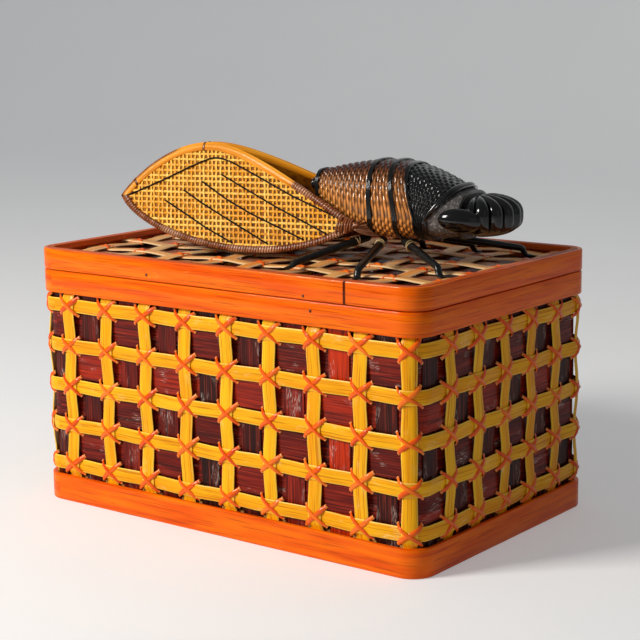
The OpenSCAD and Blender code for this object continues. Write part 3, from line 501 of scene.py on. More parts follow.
def splint_finish(name, stains, wear):
    """Stained splints: the tint picks the stain, streaks vary it, and grey scuffs lie on top."""
    material, tree = new_material(name)
    tint, grain, worn = worn_strip(tree, 1.5, wear)
    shade = sums(tree, "ADD", tint, between(tree, grain["Streak"], -0.13, 0.13))
    colour = layers(tree, ramp(tree, shade, stains),
                    (spread(tree, grain["Fibre"], 0.0, 0.5, 0.75, 0.0), paint(34, 9, 5)),
                    (spread(tree, grain["Fibre"], 0.72, 1.0, 0.0, 0.35), paint(180, 64, 34)),
                    (times(tree, worn, 0.8), paint(206, 188, 178)))
    return coated(material, colour, between(tree, grain["Height"], 0.5, 0.3),
                  relief(tree, grain["Height"], 0.6, 0.0002), gloss=0.08, coat=0.12, coat_rough=0.12)


stained_stake = splint_finish("stained_stake", STAINS, 0.5)
stained_weaver = splint_finish("stained_weaver", STAINS, 0.42)
sheen_painted_weaver = splint_finish("sheen_painted_weaver", SHEEN_PAINTED_STAINS, 0.42)
print("mat:", stained_stake.name, stained_weaver.name, sheen_painted_weaver.name)

# %% The lashing cane


def cane_finish(name, body, bright, light, end_tone):
    """Split cane: a glossy strand between two tones, some strands lighter, with its own cut ends."""
    material, tree = new_material(name)
    tint = stored(tree, "tint")
    grain = fibres(tree, strip_map(tree), tint, 2.2)
    colour = layers(tree, mixed(tree, grain["Streak"], body, bright),
                    (spread(tree, tint, 0.5, 1.0, 0.0, 0.45), light),
                    (spread(tree, stored(tree, "end"), 0.9, 1.0), end_tone))
    return coated(material, colour, between(tree, grain["Height"], 0.36, 0.22),
                  relief(tree, grain["Height"], 0.3, 0.0001), gloss=0.1, coat=0.35, coat_rough=0.12)


lashing_cane = cane_finish("lashing_cane", paint(222, 72, 0), paint(250, 106, 8), paint(255, 146, 44),
                           paint(244, 160, 88))
pale_cane = cane_finish("pale_cane", paint(176, 146, 96), paint(216, 192, 142), paint(240, 224, 184),
                        paint(246, 234, 204))
brown_wrap = cane_finish("brown_wrap", paint(108, 52, 22), paint(158, 92, 54), paint(222, 172, 134),
                         paint(150, 96, 74))
print("cane:", lashing_cane.name, pale_cane.name, brown_wrap.name)

# %% [markdown]
# ## The wall's path
# Every strip of the wall follows the same plan: a rectangle with bent corners. A point of it
# is a core rectangle's point plus a distance along the outward normal. Measuring stations
# along that path, in millimetres, lets one formula serve the straight sides and the corners.

# %% Path, stations and the weave's swing
CORNER, LATTICE_DEPTH, MAT_DEPTH = 12.5, 1.95, 4.4
LONG, SHORT = 225.0, 135.0
QUARTER = (CORNER - LATTICE_DEPTH) * np.pi / 2
RIGHT_START = LONG + QUARTER
RIGHT_END = RIGHT_START + SHORT
HALF = RIGHT_END + QUARTER
FULL = 2 * HALF


def on_wall(station, depth, z):
    """Point of the wall: core point plus (corner radius - depth) times the outward normal, at height z."""
    s = np.mod(station, FULL)
    side = np.where(s < HALF, 1.0, -1.0)
    h = np.mod(s, HALF)
    turn = np.radians(np.interp(h, [0, LONG, RIGHT_START, RIGHT_END, HALF], [-90, -90, 0, 0, 90]))
    core_x = np.interp(h, [0, LONG, HALF], [-LONG / 2, LONG / 2, LONG / 2])
    core_y = np.interp(h, [0, RIGHT_START, RIGHT_END, HALF], [-SHORT / 2, -SHORT / 2, SHORT / 2, SHORT / 2])
    reach = CORNER - depth
    return np.stack(np.broadcast_arrays(side * (core_x + reach * np.cos(turn)),
                                        side * (core_y + reach * np.sin(turn)), z), -1)


def swing(station, crossings, first, amount, period=None):
    """A woven strip's swing: a wave with a crest at each crossing, flattened as sin(90 cos(180 p))."""
    index = np.arange(len(crossings), dtype=float)
    if period:
        crossings = np.concatenate([[crossings[-1] - period], crossings, [crossings[0] + period]])
        index = np.concatenate([[-1.0], index, [len(index)]])
    phase = np.interp(station, crossings, index)
    return first * amount * np.sin(np.pi / 2 * np.cos(np.pi * phase))


past_corner = (CORNER - LATTICE_DEPTH) * math.radians(27)
half_uprights = np.concatenate([np.linspace(10.0, LONG + past_corner, 9),
                                np.linspace(RIGHT_START + 16.5, RIGHT_END + past_corner, 6)])
uprights = np.concatenate([half_uprights, half_uprights + HALF])
stakes = (uprights + np.append(uprights[1:], uprights[0] + FULL)) / 2
hoop_levels = np.linspace(20.883, 108.617, 5)
weaver_levels = (hoop_levels[1:] + hoop_levels[:-1]) / 2
SIDES = dict(zip(("front", "right", "back", "left"), np.split(np.arange(len(uprights)), [9, 15, 24])))
print("path", round(FULL, 1), "mm round,", len(uprights), "uprights,", len(hoop_levels), "hoops")

# %% [markdown]
# ## The lattice
# On the real wall each golden strip is a split of bamboo with its glossy skin outwards and
# its edges shaved to a slant. The outline below has that slant. A strip goes over one
# crossing and under the next, so hoops and uprights get opposite signs of the same swing.

# %% Lattice hoops
STRIP_X = np.array([-1, -1, -0.84, -0.45, 0, 0.45, 0.84, 1, 1, 0.84, 0, -0.84])
STRIP_Y = np.array([-0.6, 0.1, 0.82, 0.97, 1, 0.97, 0.82, 0.1, -0.6, -1, -1, -1])
STRIP_THICK, STRIP_SWING = 0.95, 0.5
MAP_EDGE = 0.45  # half thickness that the strips' map is measured on
HOOP_WIDE, UPRIGHT_WIDE, HOOP_WOBBLE = 7.2, 7.8, 0.12
WALL_STEPS = 480
wall_run = np.arange(WALL_STEPS) * FULL / WALL_STEPS
wall_map = np.append(wall_run, FULL)


def round_wall(level, x, y, depth, crossings, row, amount, wobble=0.0):
    """A strip round the wall: outline point (x, y) at station s lies at depth - swing(s) - y.

    Odd rows swing the other way. Two slow waves make the height wobble.
    """
    wave = swing(wall_run, crossings, 1 if row % 2 == 0 else -1, amount, FULL)[:, None]
    rise = wobble * (np.sin(2 * np.pi * (3 * wall_run / FULL + level / 37))
                     + np.sin(2 * np.pi * (7 * wall_run / FULL + level / 23)))
    return on_wall(wall_run[:, None], depth - wave - y, level + rise[:, None] + x)[None]


for row, level in enumerate(hoop_levels):
    points = round_wall(level, STRIP_X * HOOP_WIDE / 2, STRIP_Y * STRIP_THICK / 2, LATTICE_DEPTH, uprights,
                        row + 1, STRIP_SWING, HOOP_WOBBLE)
    piece(f"golden_hoop_{row + 1}", ("box", "lattice_strip", golden_bamboo, f"lattice_hoop_{row + 1}"),
          points, wall_map, outline_run(STRIP_X * HOOP_WIDE / 2, STRIP_Y * MAP_EDGE), loop=True,
          tint=dice.random(), across=STRIP_X)
print("hoops", [made[f"golden_hoop_{i}"] for i in range(1, 6)])

# %% Uprights
upright_z = np.concatenate([np.linspace(10.0, 14.2, 4), np.linspace(14.8, 114.7, 66),
                            np.linspace(115.3, 119.5, 4)])


def upright_strips(index):
    """Uprights by their numbers: even ones start over the first hoop, ends tuck behind the bands."""
    z = upright_z
    tucked = ease((np.abs(z - hoop_levels[2]) - 47.2) / 3.0)
    wave = swing(z, hoop_levels, 1.0, STRIP_SWING)
    wave = np.where(index[:, None] % 2 == 0, wave, -wave) * (1 - tucked) - 1.35 * tucked
    lean = 0.12 * dice.standard_normal((len(index), 1)) * np.sin(z / 17 + 6 * dice.random((len(index), 1)))
    s = uprights[index][:, None, None] + lean[..., None] + STRIP_X * UPRIGHT_WIDE / 2
    return on_wall(s, LATTICE_DEPTH - wave[..., None] - STRIP_Y * STRIP_THICK / 2, z[:, None])


for side, index in SIDES.items():
    piece(f"golden_uprights_{side}", ("box", "lattice_strip", golden_bamboo, f"uprights_{side}"),
          upright_strips(index), upright_z, outline_run(STRIP_X * UPRIGHT_WIDE / 2, STRIP_Y * MAP_EDGE),
          tint=dice.random((len(index), 1, 1)), across=STRIP_X)
print("uprights", {side: made[f"golden_uprights_{side}"] for side in SIDES})

# %% [markdown]
# ## The mat behind the lattice
# Wide thin splints back the lattice: upright stakes, and weavers that run round the box in
# front of one stake and behind the next. They leave a hole behind each crossing of the lattice,
# which the crossing hides. Their stains differ from splint to splint, and the tints of the front
# and the right end are set after the real box.

# %% Stakes and weavers
SPLINT_X = np.array([-1, -0.97, -0.5, 0, 0.5, 0.97, 1, 0.97, 0, -0.97])
SPLINT_Y = np.array([0, 0.9, 1, 1, 1, 0.9, 0, -0.9, -1, -0.9])
SPLINT_THICK, SPLINT_SWING = 0.8, 0.9
STAKE_WIDE, WEAVER_WIDE = 12.5, 14.0
stake_tints = dice.uniform(0.0, 0.55, 30)
stake_tints[:15] = [0.3, 0.5, 0.36, 0.04, 0.2, 0.52, 0.95, 0.14, 0.1, 0.12, 0.22, 0.04, 0.18, 0.0, 0.08]
weaver_tints = [0.5, 0.36, 0.62, 0.4]
splint_y = SPLINT_Y * SPLINT_THICK / 2
stake_z = np.linspace(8.0, 123.0, 12)

for side, index in SIDES.items():
    wide = STAKE_WIDE / 2 + 0.2 * np.sin(stake_z / 9 + 7 * dice.random((len(index), 1)))
    s = stakes[index][:, None, None] + wide[..., None] * SPLINT_X
    piece(f"stained_stakes_{side}", ("box", "mat_stake", stained_stake, f"stakes_{side}"),
          on_wall(s, MAT_DEPTH - splint_y, stake_z[:, None]), stake_z,
          outline_run(SPLINT_X * STAKE_WIDE / 2, splint_y), tint=stake_tints[index][:, None, None],
          across=SPLINT_X)

weaver_x = SPLINT_X * WEAVER_WIDE / 2
for row, level in enumerate(weaver_levels):
    piece(f"stained_weaver_{row + 1}", ("box", "mat_weaver", stained_weaver, f"wall_weaver_{row + 1}"),
          round_wall(level, weaver_x, splint_y, MAT_DEPTH, stakes, row, SPLINT_SWING), wall_map,
          outline_run(weaver_x, splint_y), loop=True, tint=weaver_tints[row], across=SPLINT_X)
print("mat triangles", sum(n for name, n in made.items() if name.startswith("stained")))

# %% [markdown]
# ## The lashings
# At each crossing two strands of split cane make a cross: one lies on the crossing, the other
# humps over it, and both dive to the mat at their ends. There are hundreds of strands, so
# each is only a few dozen faces. A little chance in slant, length and place keeps them lively.

# %% Lashing strands
LASH_X = np.array([1.0, 0.72, 0.0, -0.72, -1.0, 0.0])
LASH_Y = np.array([0.0, 0.7, 1.0, 0.7, 0.0, -0.1])
LASH_REACH = math.hypot(6.8, 5.4)
LASH_SLANT = math.atan2(5.4, 6.8)


def lashing_strands(columns, rows, drop, reach=LASH_REACH):
    """Two strands at each crossing of some columns and rows, as places (right, up, out).

    Along a strand, d runs from end to end. Its height is the seat, plus a hump near the middle of
    the upper strand, less a smooth drop past the strips' edges. The outline is a half round.
    """
    x, y = (np.repeat(k.ravel(), 2)[:, None, None] for k in np.meshgrid(columns, rows, indexing="ij"))
    d = reach * np.sin(np.linspace(-np.pi / 2, np.pi / 2, 9))
    end = np.abs(d) / reach
    upper = np.tile([0.0, 1.0], len(x) // 2)[:, None]
    chance = dice.standard_normal((len(x), 5))
    slant = np.where(upper > 0, -1, 1) * (LASH_SLANT + 0.05 * chance[:, :1])
    span = (d * (1 + 0.04 * chance[:, 1:2]))[..., None]
    hump = 0.55 * upper * (1 - ease((np.abs(d) - 1.4) / 2.6))
    height = 1.0 + hump - (drop + 0.3) * ease((end - 0.565) / 0.435)
    bow = 0.45 * (upper - 0.4) * np.sin(np.pi * d / reach) + 0.15 * chance[:, 2:3]
    wide = (1.3 - 0.32 * upper + 0.06 * chance[:, 3:4]) * (1 - 0.2 * end ** 4)
    across = bow[..., None] + wide[..., None] * LASH_X
    c, s = np.cos(slant)[..., None], np.sin(slant)[..., None]
    out = height[..., None] + 0.72 * LASH_Y
    numbers = {"end": end[:, None], "tint": dice.random((len(x), 1, 1))}
    return x + c * span - s * across, y + s * span + c * across, out, d, numbers


lash_round = outline_run(LASH_X, LASH_Y)
for side, index in SIDES.items():
    right_at, up_at, out, d, numbers = lashing_strands(uprights[index], hoop_levels, drop=2.0)
    piece(f"cane_lashings_{side}", ("box", "lash_cane", lashing_cane, f"lashings_{side}"),
          on_wall(right_at, LATTICE_DEPTH - out, np.clip(up_at, 14.7, 114.8)), d, lash_round, **numbers)
print("strands on the wall", 2 * len(hoop_levels) * len(uprights), "triangles", made["cane_lashings_front"])

# %% [markdown]
# ## The bands
# Each band is one long splint of thick bamboo, bent round the box and lacquered. The outline
# is a tall rectangle with rounded edges, carried round the plan. At a lap the outer end stands
# a little proud and falls back along the band, and the material darkens the line itself and
# paints the shadow of the step beside it, so each point stores its distance from the nearest one.

# %% Three lacquered bands
BAND_THICK, BAND_ROUND, LAP_PROUD, LAP_LONG = 2.6, 0.7, 0.3, 45


def band_outline(t, h, r):
    """A rectangle t by h with edges rounded by r: (depth, height), up the outer face, down the inner."""
    depth = np.array([0, 0, 0, 0.3 * r, r, t - r, t - 0.3 * r, t, t, t, t - 0.3 * r, t - r, r, 0.3 * r])
    level = np.array([r, h / 2, h - r, h - 0.3 * r, h, h, h - 0.3 * r,
                      h - r, h / 2, r, 0.3 * r, 0, 0, 0.3 * r])
    return depth, level


def band(name, bottom, height, laps, solid, body):
    """A lacquered band: the outline carried round the plan with a slight hand-made wave.

    A lap is (station, slope of its line). Before it the outer face stands proud, and that fades
    to nothing along the band.
    """
    depth, level = band_outline(BAND_THICK, height, BAND_ROUND)
    at, slope = np.array(laps).T
    s = np.sort(np.concatenate([wall_run, at - 0.25, at + 0.25]))
    wave = (0.07 * np.sin(2 * np.pi * (5 * s / FULL + bottom / 40))
            + 0.05 * np.sin(2 * np.pi * 13 * s / FULL))
    gap = s[:, None, None] - at - slope * (level[:, None] - height / 2)
    proud = np.where(gap < 0, LAP_PROUD * ease(1 + gap / LAP_LONG), 0.0).max(-1)
    outer = depth < BAND_THICK / 2
    points = on_wall(s[:, None], depth + (np.abs(wave)[:, None] - proud) * outer, bottom + level)
    piece(name, (body, "lacquered_band", orange_lacquer, solid), points[None], np.append(s, FULL),
          outline_run(depth, level), loop=True, tint=dice.random(), seam=np.abs(gap).min(-1))


base_laps, rim_laps = [(HALF + 60.0, 0.9)], [(HALF + 150.0, -0.9)]
lid_laps = [(195.3, 0.0), (RIGHT_START + SHORT / 2 + 11.0, -1.8)]
band("orange_base_band", bottom=0.0, height=14.5, laps=base_laps, solid="base_band", body="box")
band("orange_rim_band", bottom=115.0, height=12.0, laps=rim_laps, solid="rim_band", body="box")
band("orange_lid_band", bottom=127.4, height=11.2, laps=lid_laps, solid="lid_band", body="lid")
print("bands", [made[f"orange_{place}_band"] for place in ("base", "rim", "lid")])

# %% [markdown]
# ## The lid's panel and the floor
# The lid is woven like the wall, but flat: a mat of splints, a golden lattice on it, and
# lashings at its crossings. The floor is the same mat without a lattice. Straight strips need
# only their line, the crossings along it and the level of their middle.

# %% Flat woven panels
lid_rows = -67.5 + 27.0 * np.arange(6)
lid_columns = -110.0 + 27.5 * np.arange(9)
mat_rows = (lid_rows[1:] + lid_rows[:-1]) / 2
mat_columns = (lid_columns[1:] + lid_columns[:-1]) / 2
LID_MAT, LID_LATTICE, FLOOR_MAT = 132.3, 134.65, 4.4
LATTICE = {"x": STRIP_X, "y": STRIP_Y * STRIP_THICK / 2, "lines": (lid_rows, lid_columns), "tints": 1.0}
MAT = {"x": SPLINT_X, "y": splint_y, "lines": (mat_rows, mat_columns), "tints": 0.6}


def flat_strips(kind, run_x, half_length, width, level, amount):
    """Straight woven strips along X or Y: height is the level plus swing and outline."""
    lines, crossings = kind["lines"] if run_x else kind["lines"][::-1]
    t = np.linspace(-half_length, half_length, max(40, 8 * len(crossings)))
    sign = np.where(np.arange(len(lines)) % 2 == 0, 1, -1)[:, None, None]
    z = level + sign * swing(t, crossings, 1.0, amount)[:, None] + kind["y"]
    run, cross = t[:, None], lines[:, None, None] + kind["x"] * width / 2
    return np.stack(np.broadcast_arrays(*((run, cross, z) if run_x else (cross, run, z))), -1), t


# Each row has a name, a part and a kind, whether it runs along X, half length, width, level and swing
panels = [
    ("golden_sheen_lid_rows", ("lid", "lattice_strip", sheen_painted_bamboo, "lid_lattice_long"),
     LATTICE, True, 121.2, HOOP_WIDE, LID_LATTICE, STRIP_SWING),
    ("golden_sheen_lid_columns", ("lid", "lattice_strip", sheen_painted_bamboo, "lid_lattice_cross"),
     LATTICE, False, 77.0, UPRIGHT_WIDE, LID_LATTICE, -STRIP_SWING),
    ("stained_sheen_lid_weavers", ("lid", "mat_weaver", sheen_painted_weaver, "lid_mat_long"),
     MAT, True, 122.0, 16.5, LID_MAT, SPLINT_SWING),
    ("stained_lid_stakes", ("lid", "mat_stake", stained_stake, "lid_mat_cross"),
     MAT, False, 77.0, STAKE_WIDE, LID_MAT, 0.0),
    ("stained_floor_weavers", ("box", "mat_weaver", stained_weaver, "floor_long"),
     MAT, True, 122.0, 24.5, FLOOR_MAT, SPLINT_SWING),
    ("stained_floor_stakes", ("box", "mat_stake", stained_stake, "floor_cross"),
     MAT, False, 77.0, 25.0, FLOOR_MAT, 0.0)]
for name, part, kind, run_x, half_length, width, level, amount in panels:
    points, t = flat_strips(kind, run_x, half_length, width, level, amount)
    piece(name, part, points, t, outline_run(kind["x"] * width / 2, kind["y"]),
          tint=dice.random((len(points), 1, 1)) * kind["tints"], across=kind["x"])
right_at, up_at, out, d, numbers = lashing_strands(lid_columns, lid_rows, drop=1.7, reach=6.2)
piece("cane_lashings_lid", ("lid", "lash_cane", lashing_cane, "lid_lashings"),
      np.stack([right_at, up_at, LID_LATTICE + 0.8 * out], -1), d, lash_round, **numbers)
print("panels", [(name, made[name]) for name, *_ in panels])

# %% [markdown]
# ## Hidden hoops
# Plain bamboo hoops inside the bands clamp the wall and carry the lid. Their solids already
# have the right shape, so they only get a finish. It reads Object coordinates, because a
# solid has no map of its own: the fibres run level, so noise is squeezed along Z.

# %% Plain bamboo for the inner hoops


def plain_hoop_finish(name, deep, bright):
    """Unlacquered bamboo with level fibres."""
    material, tree = new_material(name)
    part = add(tree, "ShaderNodeSeparateXYZ", {0: millimetres(tree)}).outputs
    at = add(tree, "ShaderNodeCombineXYZ", {0: sums(tree, "ADD", part[0], part[1]), 1: part[2]}).outputs[0]
    grain = fibres(tree, at, 0.3, 1.6)
    colour = layers(tree, mixed(tree, grain["Streak"], deep, bright),
                    (spread(tree, grain["Fibre"], 0.0, 0.4, 0.5, 0.0), paint(96, 48, 14)))
    return coated(material, colour, between(tree, grain["Height"], 0.6, 0.42),
                  relief(tree, grain["Height"], 0.4, 0.0002))


plain_bamboo = plain_hoop_finish("plain_bamboo", paint(172, 110, 50), paint(206, 146, 76))
stained_hoop = plain_hoop_finish("stained_hoop", paint(206, 78, 8), paint(232, 104, 14))
for solid in ("foot_hoop", "base_inner_hoop", "lid_collar", "lid_ledge"):
    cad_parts[solid].material_slots[0].material = plain_bamboo
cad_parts["lid_hold_down"].material_slots[0].material = stained_hoop
print("hoops finished in place:", plain_bamboo.name, stained_hoop.name)

# %% [markdown]
# ## The cicada's body
# A basket maker weaves the body over ribs: fine cane rings, each going over one rib and under
# the next, round a shape that swells and falls. The surface is a function of t along the body
# and an angle a round it. The cane is relief on it: a half round for each ring, and a small
# wave round the ring that changes sign from ring to ring.

# %% The form of the body
LID_SURFACE, FIGURE_TURN = 135.6, math.radians(8)
BODY_START, BODY_LONG = 8.5, 88.0
ON_SIDE, ON_BACK = [0, 0.443, 0.725, 0.795, 1], [0, 0.42, 0.63, 0.955, 1]


def on_lid(points):
    """From the cicada's own frame to the box: turn by 8 degrees and lift to the lid's lattice."""
    c, s = math.cos(FIGURE_TURN), math.sin(FIGURE_TURN)
    x, y, z = np.moveaxis(np.asarray(points, float), -1, 0)
    return np.stack([c * x - s * y, s * x + c * y, z + LID_SURFACE], -1)


def swell(t, first, peak, last, at):
    """Rises from first to peak as a sine, and falls to last as a cosine."""
    rise = first + (peak - first) * np.sin(np.pi / 2 * np.clip(t / at, -1, 1))
    fall = last + (peak - last) * np.cos(np.pi / 2 * np.clip((t - at) / (1 - at), 0, 2))
    return np.where(t < at, rise, fall)


def back_line(t):
    """Height of the back over the lid at share t."""
    return swell(t, 44.2, 51.2, 36.0, 0.5)


def body_skin(t, a, grow):
    """Point of the body at share t along its side and angle a, pushed out by grow.

    A ring crosses the back at a share of its own, read from the two lists above, so rings lean
    over the abdomen and fan out over the thorax. The section is rounded: powers of sine and cosine.
    """
    back = np.interp(t, ON_SIDE, ON_BACK)
    bottom = swell(t, 30.0, 12.0, 14.5, 0.5)
    centre = bottom + 0.33 * (back_line(t) - bottom)
    tall = np.where(np.sin(a) > 0, back_line(back) - centre, centre - bottom)
    rise = (tall + grow) * power(np.sin(a), 0.75)
    x = BODY_START + BODY_LONG * (t + np.maximum(rise, 0) / tall * (back - t))
    y = (swell(t, 7.5, 21.5, 18.0, 0.55) + grow) * power(np.cos(a), 0.75)
    return np.stack(np.broadcast_arrays(x, y, centre + rise), -1)


def woven_body(name, part, start, stop, rings, ribs, steps, columns, bead, wave, lift=-0.6):
    """Cane rings on the body: grow = lift + half round * (bead + wave * cos(ribs a + 180 ring))."""
    f = np.linspace(0, rings, rings * steps + 1)
    ring = np.minimum(np.floor(f), rings - 1)
    half_round = np.sqrt(np.clip(1 - (2 * (f - ring) - 1) ** 2, 0, 1))[:, None]
    a = turns(columns)
    over = np.cos(ribs * a + np.pi * ring[:, None])
    t = start + (stop - start) * f / rings
    points = on_lid(body_skin(t[:, None], a, lift + half_round * (bead + wave * over)))
    tint = np.mod(np.sin(ring * 12.9898) * 43758.5453, 1.0)[:, None]
    piece(name, part, points[None], BODY_LONG * t, 2 * np.pi * 19, sharp=180.0, tint=tint, over=over,
          height=half_round, up=np.sin(a))


ends = [np.round(on_lid(body_skin(t, 0.0, 0.0)), 1).tolist() for t in (0.0, 1.0)]
print("body from", ends[0], "to", ends[1])

# %% [markdown]
# ## Finishes of the cicada
# The abdomen is amber cane, darker along the back, under thick varnish. The thorax and the
# bands are the same cane dyed black, and the legs are black sticks. The head is black lacquer,
# and the plate behind it is matte paint that has crazed with age.

# %% Cane of the body


def woven_cane_finish(name, low, high, dark, coat, rough, gloss):
    """Varnished cane: tone by height on the body and by ring, with painted shade between the strands and
    where a strand goes under a rib.
    """
    material, tree = new_material(name)
    tint = stored(tree, "tint")
    crosswise = add(tree, "ShaderNodeVectorRotate", {"Vector": strip_map(tree), "Angle": math.pi / 2},
                    rotation_type="Z_AXIS").outputs[0]
    grain = fibres(tree, crosswise, tint, 2.5)
    # Painted shade: dark in the gaps between the rings and where a strand goes under a rib.
    painted_gap_shade = spread(tree, stored(tree, "height"), 0.3, 0.82, 0.95, 0.0)
    painted_under_shade = spread(tree, stored(tree, "over"), -1.0, -0.2, 0.7, 0.0)
    colour = layers(tree, mixed(tree, spread(tree, stored(tree, "up"), 0.05, 0.9), low, high),
                    (between(tree, tint, 0.0, 0.25), dark),
                    (between(tree, grain["Streak"], 0.3, 0.0), dark),
                    (sums(tree, "MAXIMUM", painted_gap_shade, painted_under_shade), dark))
    return coated(material, colour, between(tree, grain["Height"], rough + 0.1, rough),
                  relief(tree, grain["Height"], 0.3, 0.0001), gloss, coat, coat_rough=0.07)


amber_cane = woven_cane_finish("amber_cane", paint(254, 164, 76), paint(88, 32, 4), paint(24, 7, 1),
                               coat=0.9, rough=0.3, gloss=0.12)
black_cane = woven_cane_finish("black_cane", paint(10, 10, 9), paint(7, 7, 6), paint(2, 2, 2),
                               coat=1.0, rough=0.2, gloss=0.1)
print("cane:", amber_cane.name, black_cane.name)

# %% Lacquer, paint and thread


def plain_finish(name, base, other, scale, rough, coat, depth):
    """One tone that drifts into another over a soft noise, with a bump of the same noise.

    The noise's scale is per millimetre, and the bump's depth is in metres.
    """
    material, tree = new_material(name)
    noise = cloud(tree, millimetres(tree), scale, 4.0, 0.6)
    return coated(material, mixed(tree, spread(tree, noise, 0.36, 0.66), base, other),
                  spread(tree, noise, 0.3, 0.7, rough, rough + 0.12), relief(tree, noise, 0.4, depth),
                  0.12, coat, 0.05)


def crazed_finish(name):
    """Old matte paint: grey-black patches, fine cracks between them and a few pale flakes."""
    material, tree = new_material(name)
    at = millimetres(tree)
    noise = cloud(tree, at, 0.35, 4.0, 0.6)
    cells = add(tree, "ShaderNodeTexVoronoi", {"Vector": at, "Scale": 0.55}, feature="DISTANCE_TO_EDGE")
    crack = spread(tree, cells.outputs["Distance"], 0.0, 0.06, 1.0, 0.0)
    flake = spread(tree, cloud(tree, at, 0.7, 5.0, 0.7), 0.54, 0.62)
    patches = mixed(tree, spread(tree, noise, 0.36, 0.64), paint(56, 51, 51), paint(104, 98, 94))
    colour = layers(tree, patches, (times(tree, flake, 0.5), paint(196, 190, 180)),
                    (times(tree, crack, 0.35), paint(40, 32, 34)))
    height = sums(tree, "SUBTRACT", noise, times(tree, crack, 0.8))
    return coated(material, colour, spread(tree, noise, 0.3, 0.7, 0.42, 0.62),
                  relief(tree, height, 0.5, 0.0003))


black_lacquer = plain_finish("black_lacquer", paint(5, 5, 5), paint(10, 10, 10), 0.12, 0.1, 0.7, 0.0003)
black_stick = plain_finish("black_stick", paint(10, 10, 10), paint(30, 30, 28), 0.5, 0.34, 0.4, 0.0004)
brown_peg = plain_finish("brown_peg", paint(84, 44, 38), paint(140, 90, 80), 0.6, 0.45, 0.1, 0.0003)
black_thread = plain_finish("black_thread", paint(10, 7, 6), paint(26, 16, 12), 1.4, 0.55, 0.0, 0.0001)
crazed_paint = crazed_finish("crazed_paint")
print("plain finishes:", black_lacquer.name, black_stick.name, brown_peg.name, black_thread.name)

# %% [markdown]
# ## Abdomen, bands and thorax
# The abdomen has about thirty rings of cane, the thorax fourteen. Black strands go round the
# abdomen as two bands and a tail ring, and thick ones edge the thorax and the neck.

# %% Woven parts of the body
woven_body("amber_abdomen", ("lid", "body_cane", amber_cane, "abdomen"), 0.0, 0.725,
           rings=32, ribs=21, steps=7, columns=168, bead=0.6, wave=0.3)
woven_body("black_thorax", ("lid", "black_cane", black_cane, "thorax"), 0.727, 0.795,
           rings=14, ribs=30, steps=8, columns=240, bead=0.5, wave=0.4)


def ring_strands(name, solids, stations, radius, lift, columns=10, rows=120):
    """Round strands laid round the body at some stations: a small circle carried round the section.

    A step of t is longer on the back than on the side, so the radius is divided by its length.
    """
    a, b, step = turns(rows), turns(columns), 0.002
    radius = np.broadcast_to(radius, len(stations))[:, None, None]
    middle = np.asarray(stations)[:, None]
    length = np.linalg.norm(body_skin(middle + step, a, 0.0) - body_skin(middle - step, a, 0.0), axis=-1)
    t = middle[..., None] + radius * np.cos(b) * 2 * step / length[..., None]
    points = on_lid(body_skin(t, a[:, None], lift + radius * np.sin(b)))
    tint = np.linspace(0.1, 0.6, len(stations))[:, None, None]
    piece(name, ("lid", "black_cane", black_cane, *solids), points, along=120.0, around=4.0,
          loop=True, sharp=180.0, tint=tint, height=1.0, over=1.0, up=np.sin(a)[:, None])


band_stations = np.concatenate([c + np.array([-0.85, 0.0, 0.85]) / BODY_LONG for c in (0.02, 0.443, 0.609)])
ring_strands("black_abdomen_bands", ["abdomen_bands"], band_stations, radius=0.55, lift=0.4)
ring_strands("black_thorax_rim", [], [0.722, 0.7895, 0.7955, 0.99], radius=[0.5, 1.2, 0.8, 0.8], lift=0.35)
print("body triangles", made["amber_abdomen"], made["black_thorax"])

# %% [markdown]
# ## Neck plate, head, eyes and tail
# The plate and the head are carved, not woven. The head is half of a flattened round form
# with ribs that sweep down its front: the radius is multiplied by a curve with sharp valleys.
# Each eye is a long polished bead.

# %% Carved parts
PLATE_START = 0.797
HEAD_BACK, HEAD_MIDDLE = 96.65, 25.25
HANDS = (("right", -1), ("left", 1))
t, a = np.linspace(PLATE_START, 1.0, 16), turns(96)
dome = 0.4 * np.sin(np.pi * (t - PLATE_START) / (1 - PLATE_START))[:, None] * np.clip(np.sin(a), 0, 1)
piece("crazed_neck_plate", ("lid", "neck_plate", crazed_paint, "neck_plate"),
      on_lid(body_skin(t[:, None], a, dome - 0.15))[None], BODY_LONG * t, around=120.0)


def head_surface(levels, directions):
    """Head: x and y from the turn, z from the level, each a power of a cosine or sine.

    A rib is |cos 9 turn|^0.6, 1 on its crest and 0 in a valley. Ribs swell the radius above the
    plain mouth, and valleys sink into the top. Near its back the head narrows to a waist.
    """
    degrees = np.linspace(-86, 86, levels)[:, None]
    level = np.radians(degrees)
    turn = np.radians(np.linspace(-90, 90, directions))[None, :]
    rib = np.abs(np.cos(9 * turn)) ** 0.6
    lobe = 1 + 0.06 * (2 * rib - 1) * np.cos(level) ** 0.6 * ease((degrees + 45) / 35)
    flat = np.cos(level) ** 0.7
    ahead_by = 23.0 * lobe * np.cos(turn) * flat
    waist = 1 - 0.13 * (1 - ease(ahead_by / 7))
    sunk = 1.3 * (1 - rib) * ease((degrees - 8) / 30) * ease((88 - degrees) / 14)
    front = np.stack([HEAD_BACK + ahead_by, 19.5 * lobe * np.sin(turn) * flat * waist,
                      HEAD_MIDDLE + 10.75 * power(np.sin(level), 0.7) * waist - sunk], -1)
    share = np.linspace(0, 1, 14)[1:-1][None, :, None]
    back = front[:, -1:] * (1 - share) + front[:, :1] * share
    return np.concatenate([front, back], axis=1)


piece("lacquered_head", ("lid", "black_lacquer", black_lacquer, "head"),
      on_lid(head_surface(levels=52, directions=217))[None], along=34.0, around=110.0)


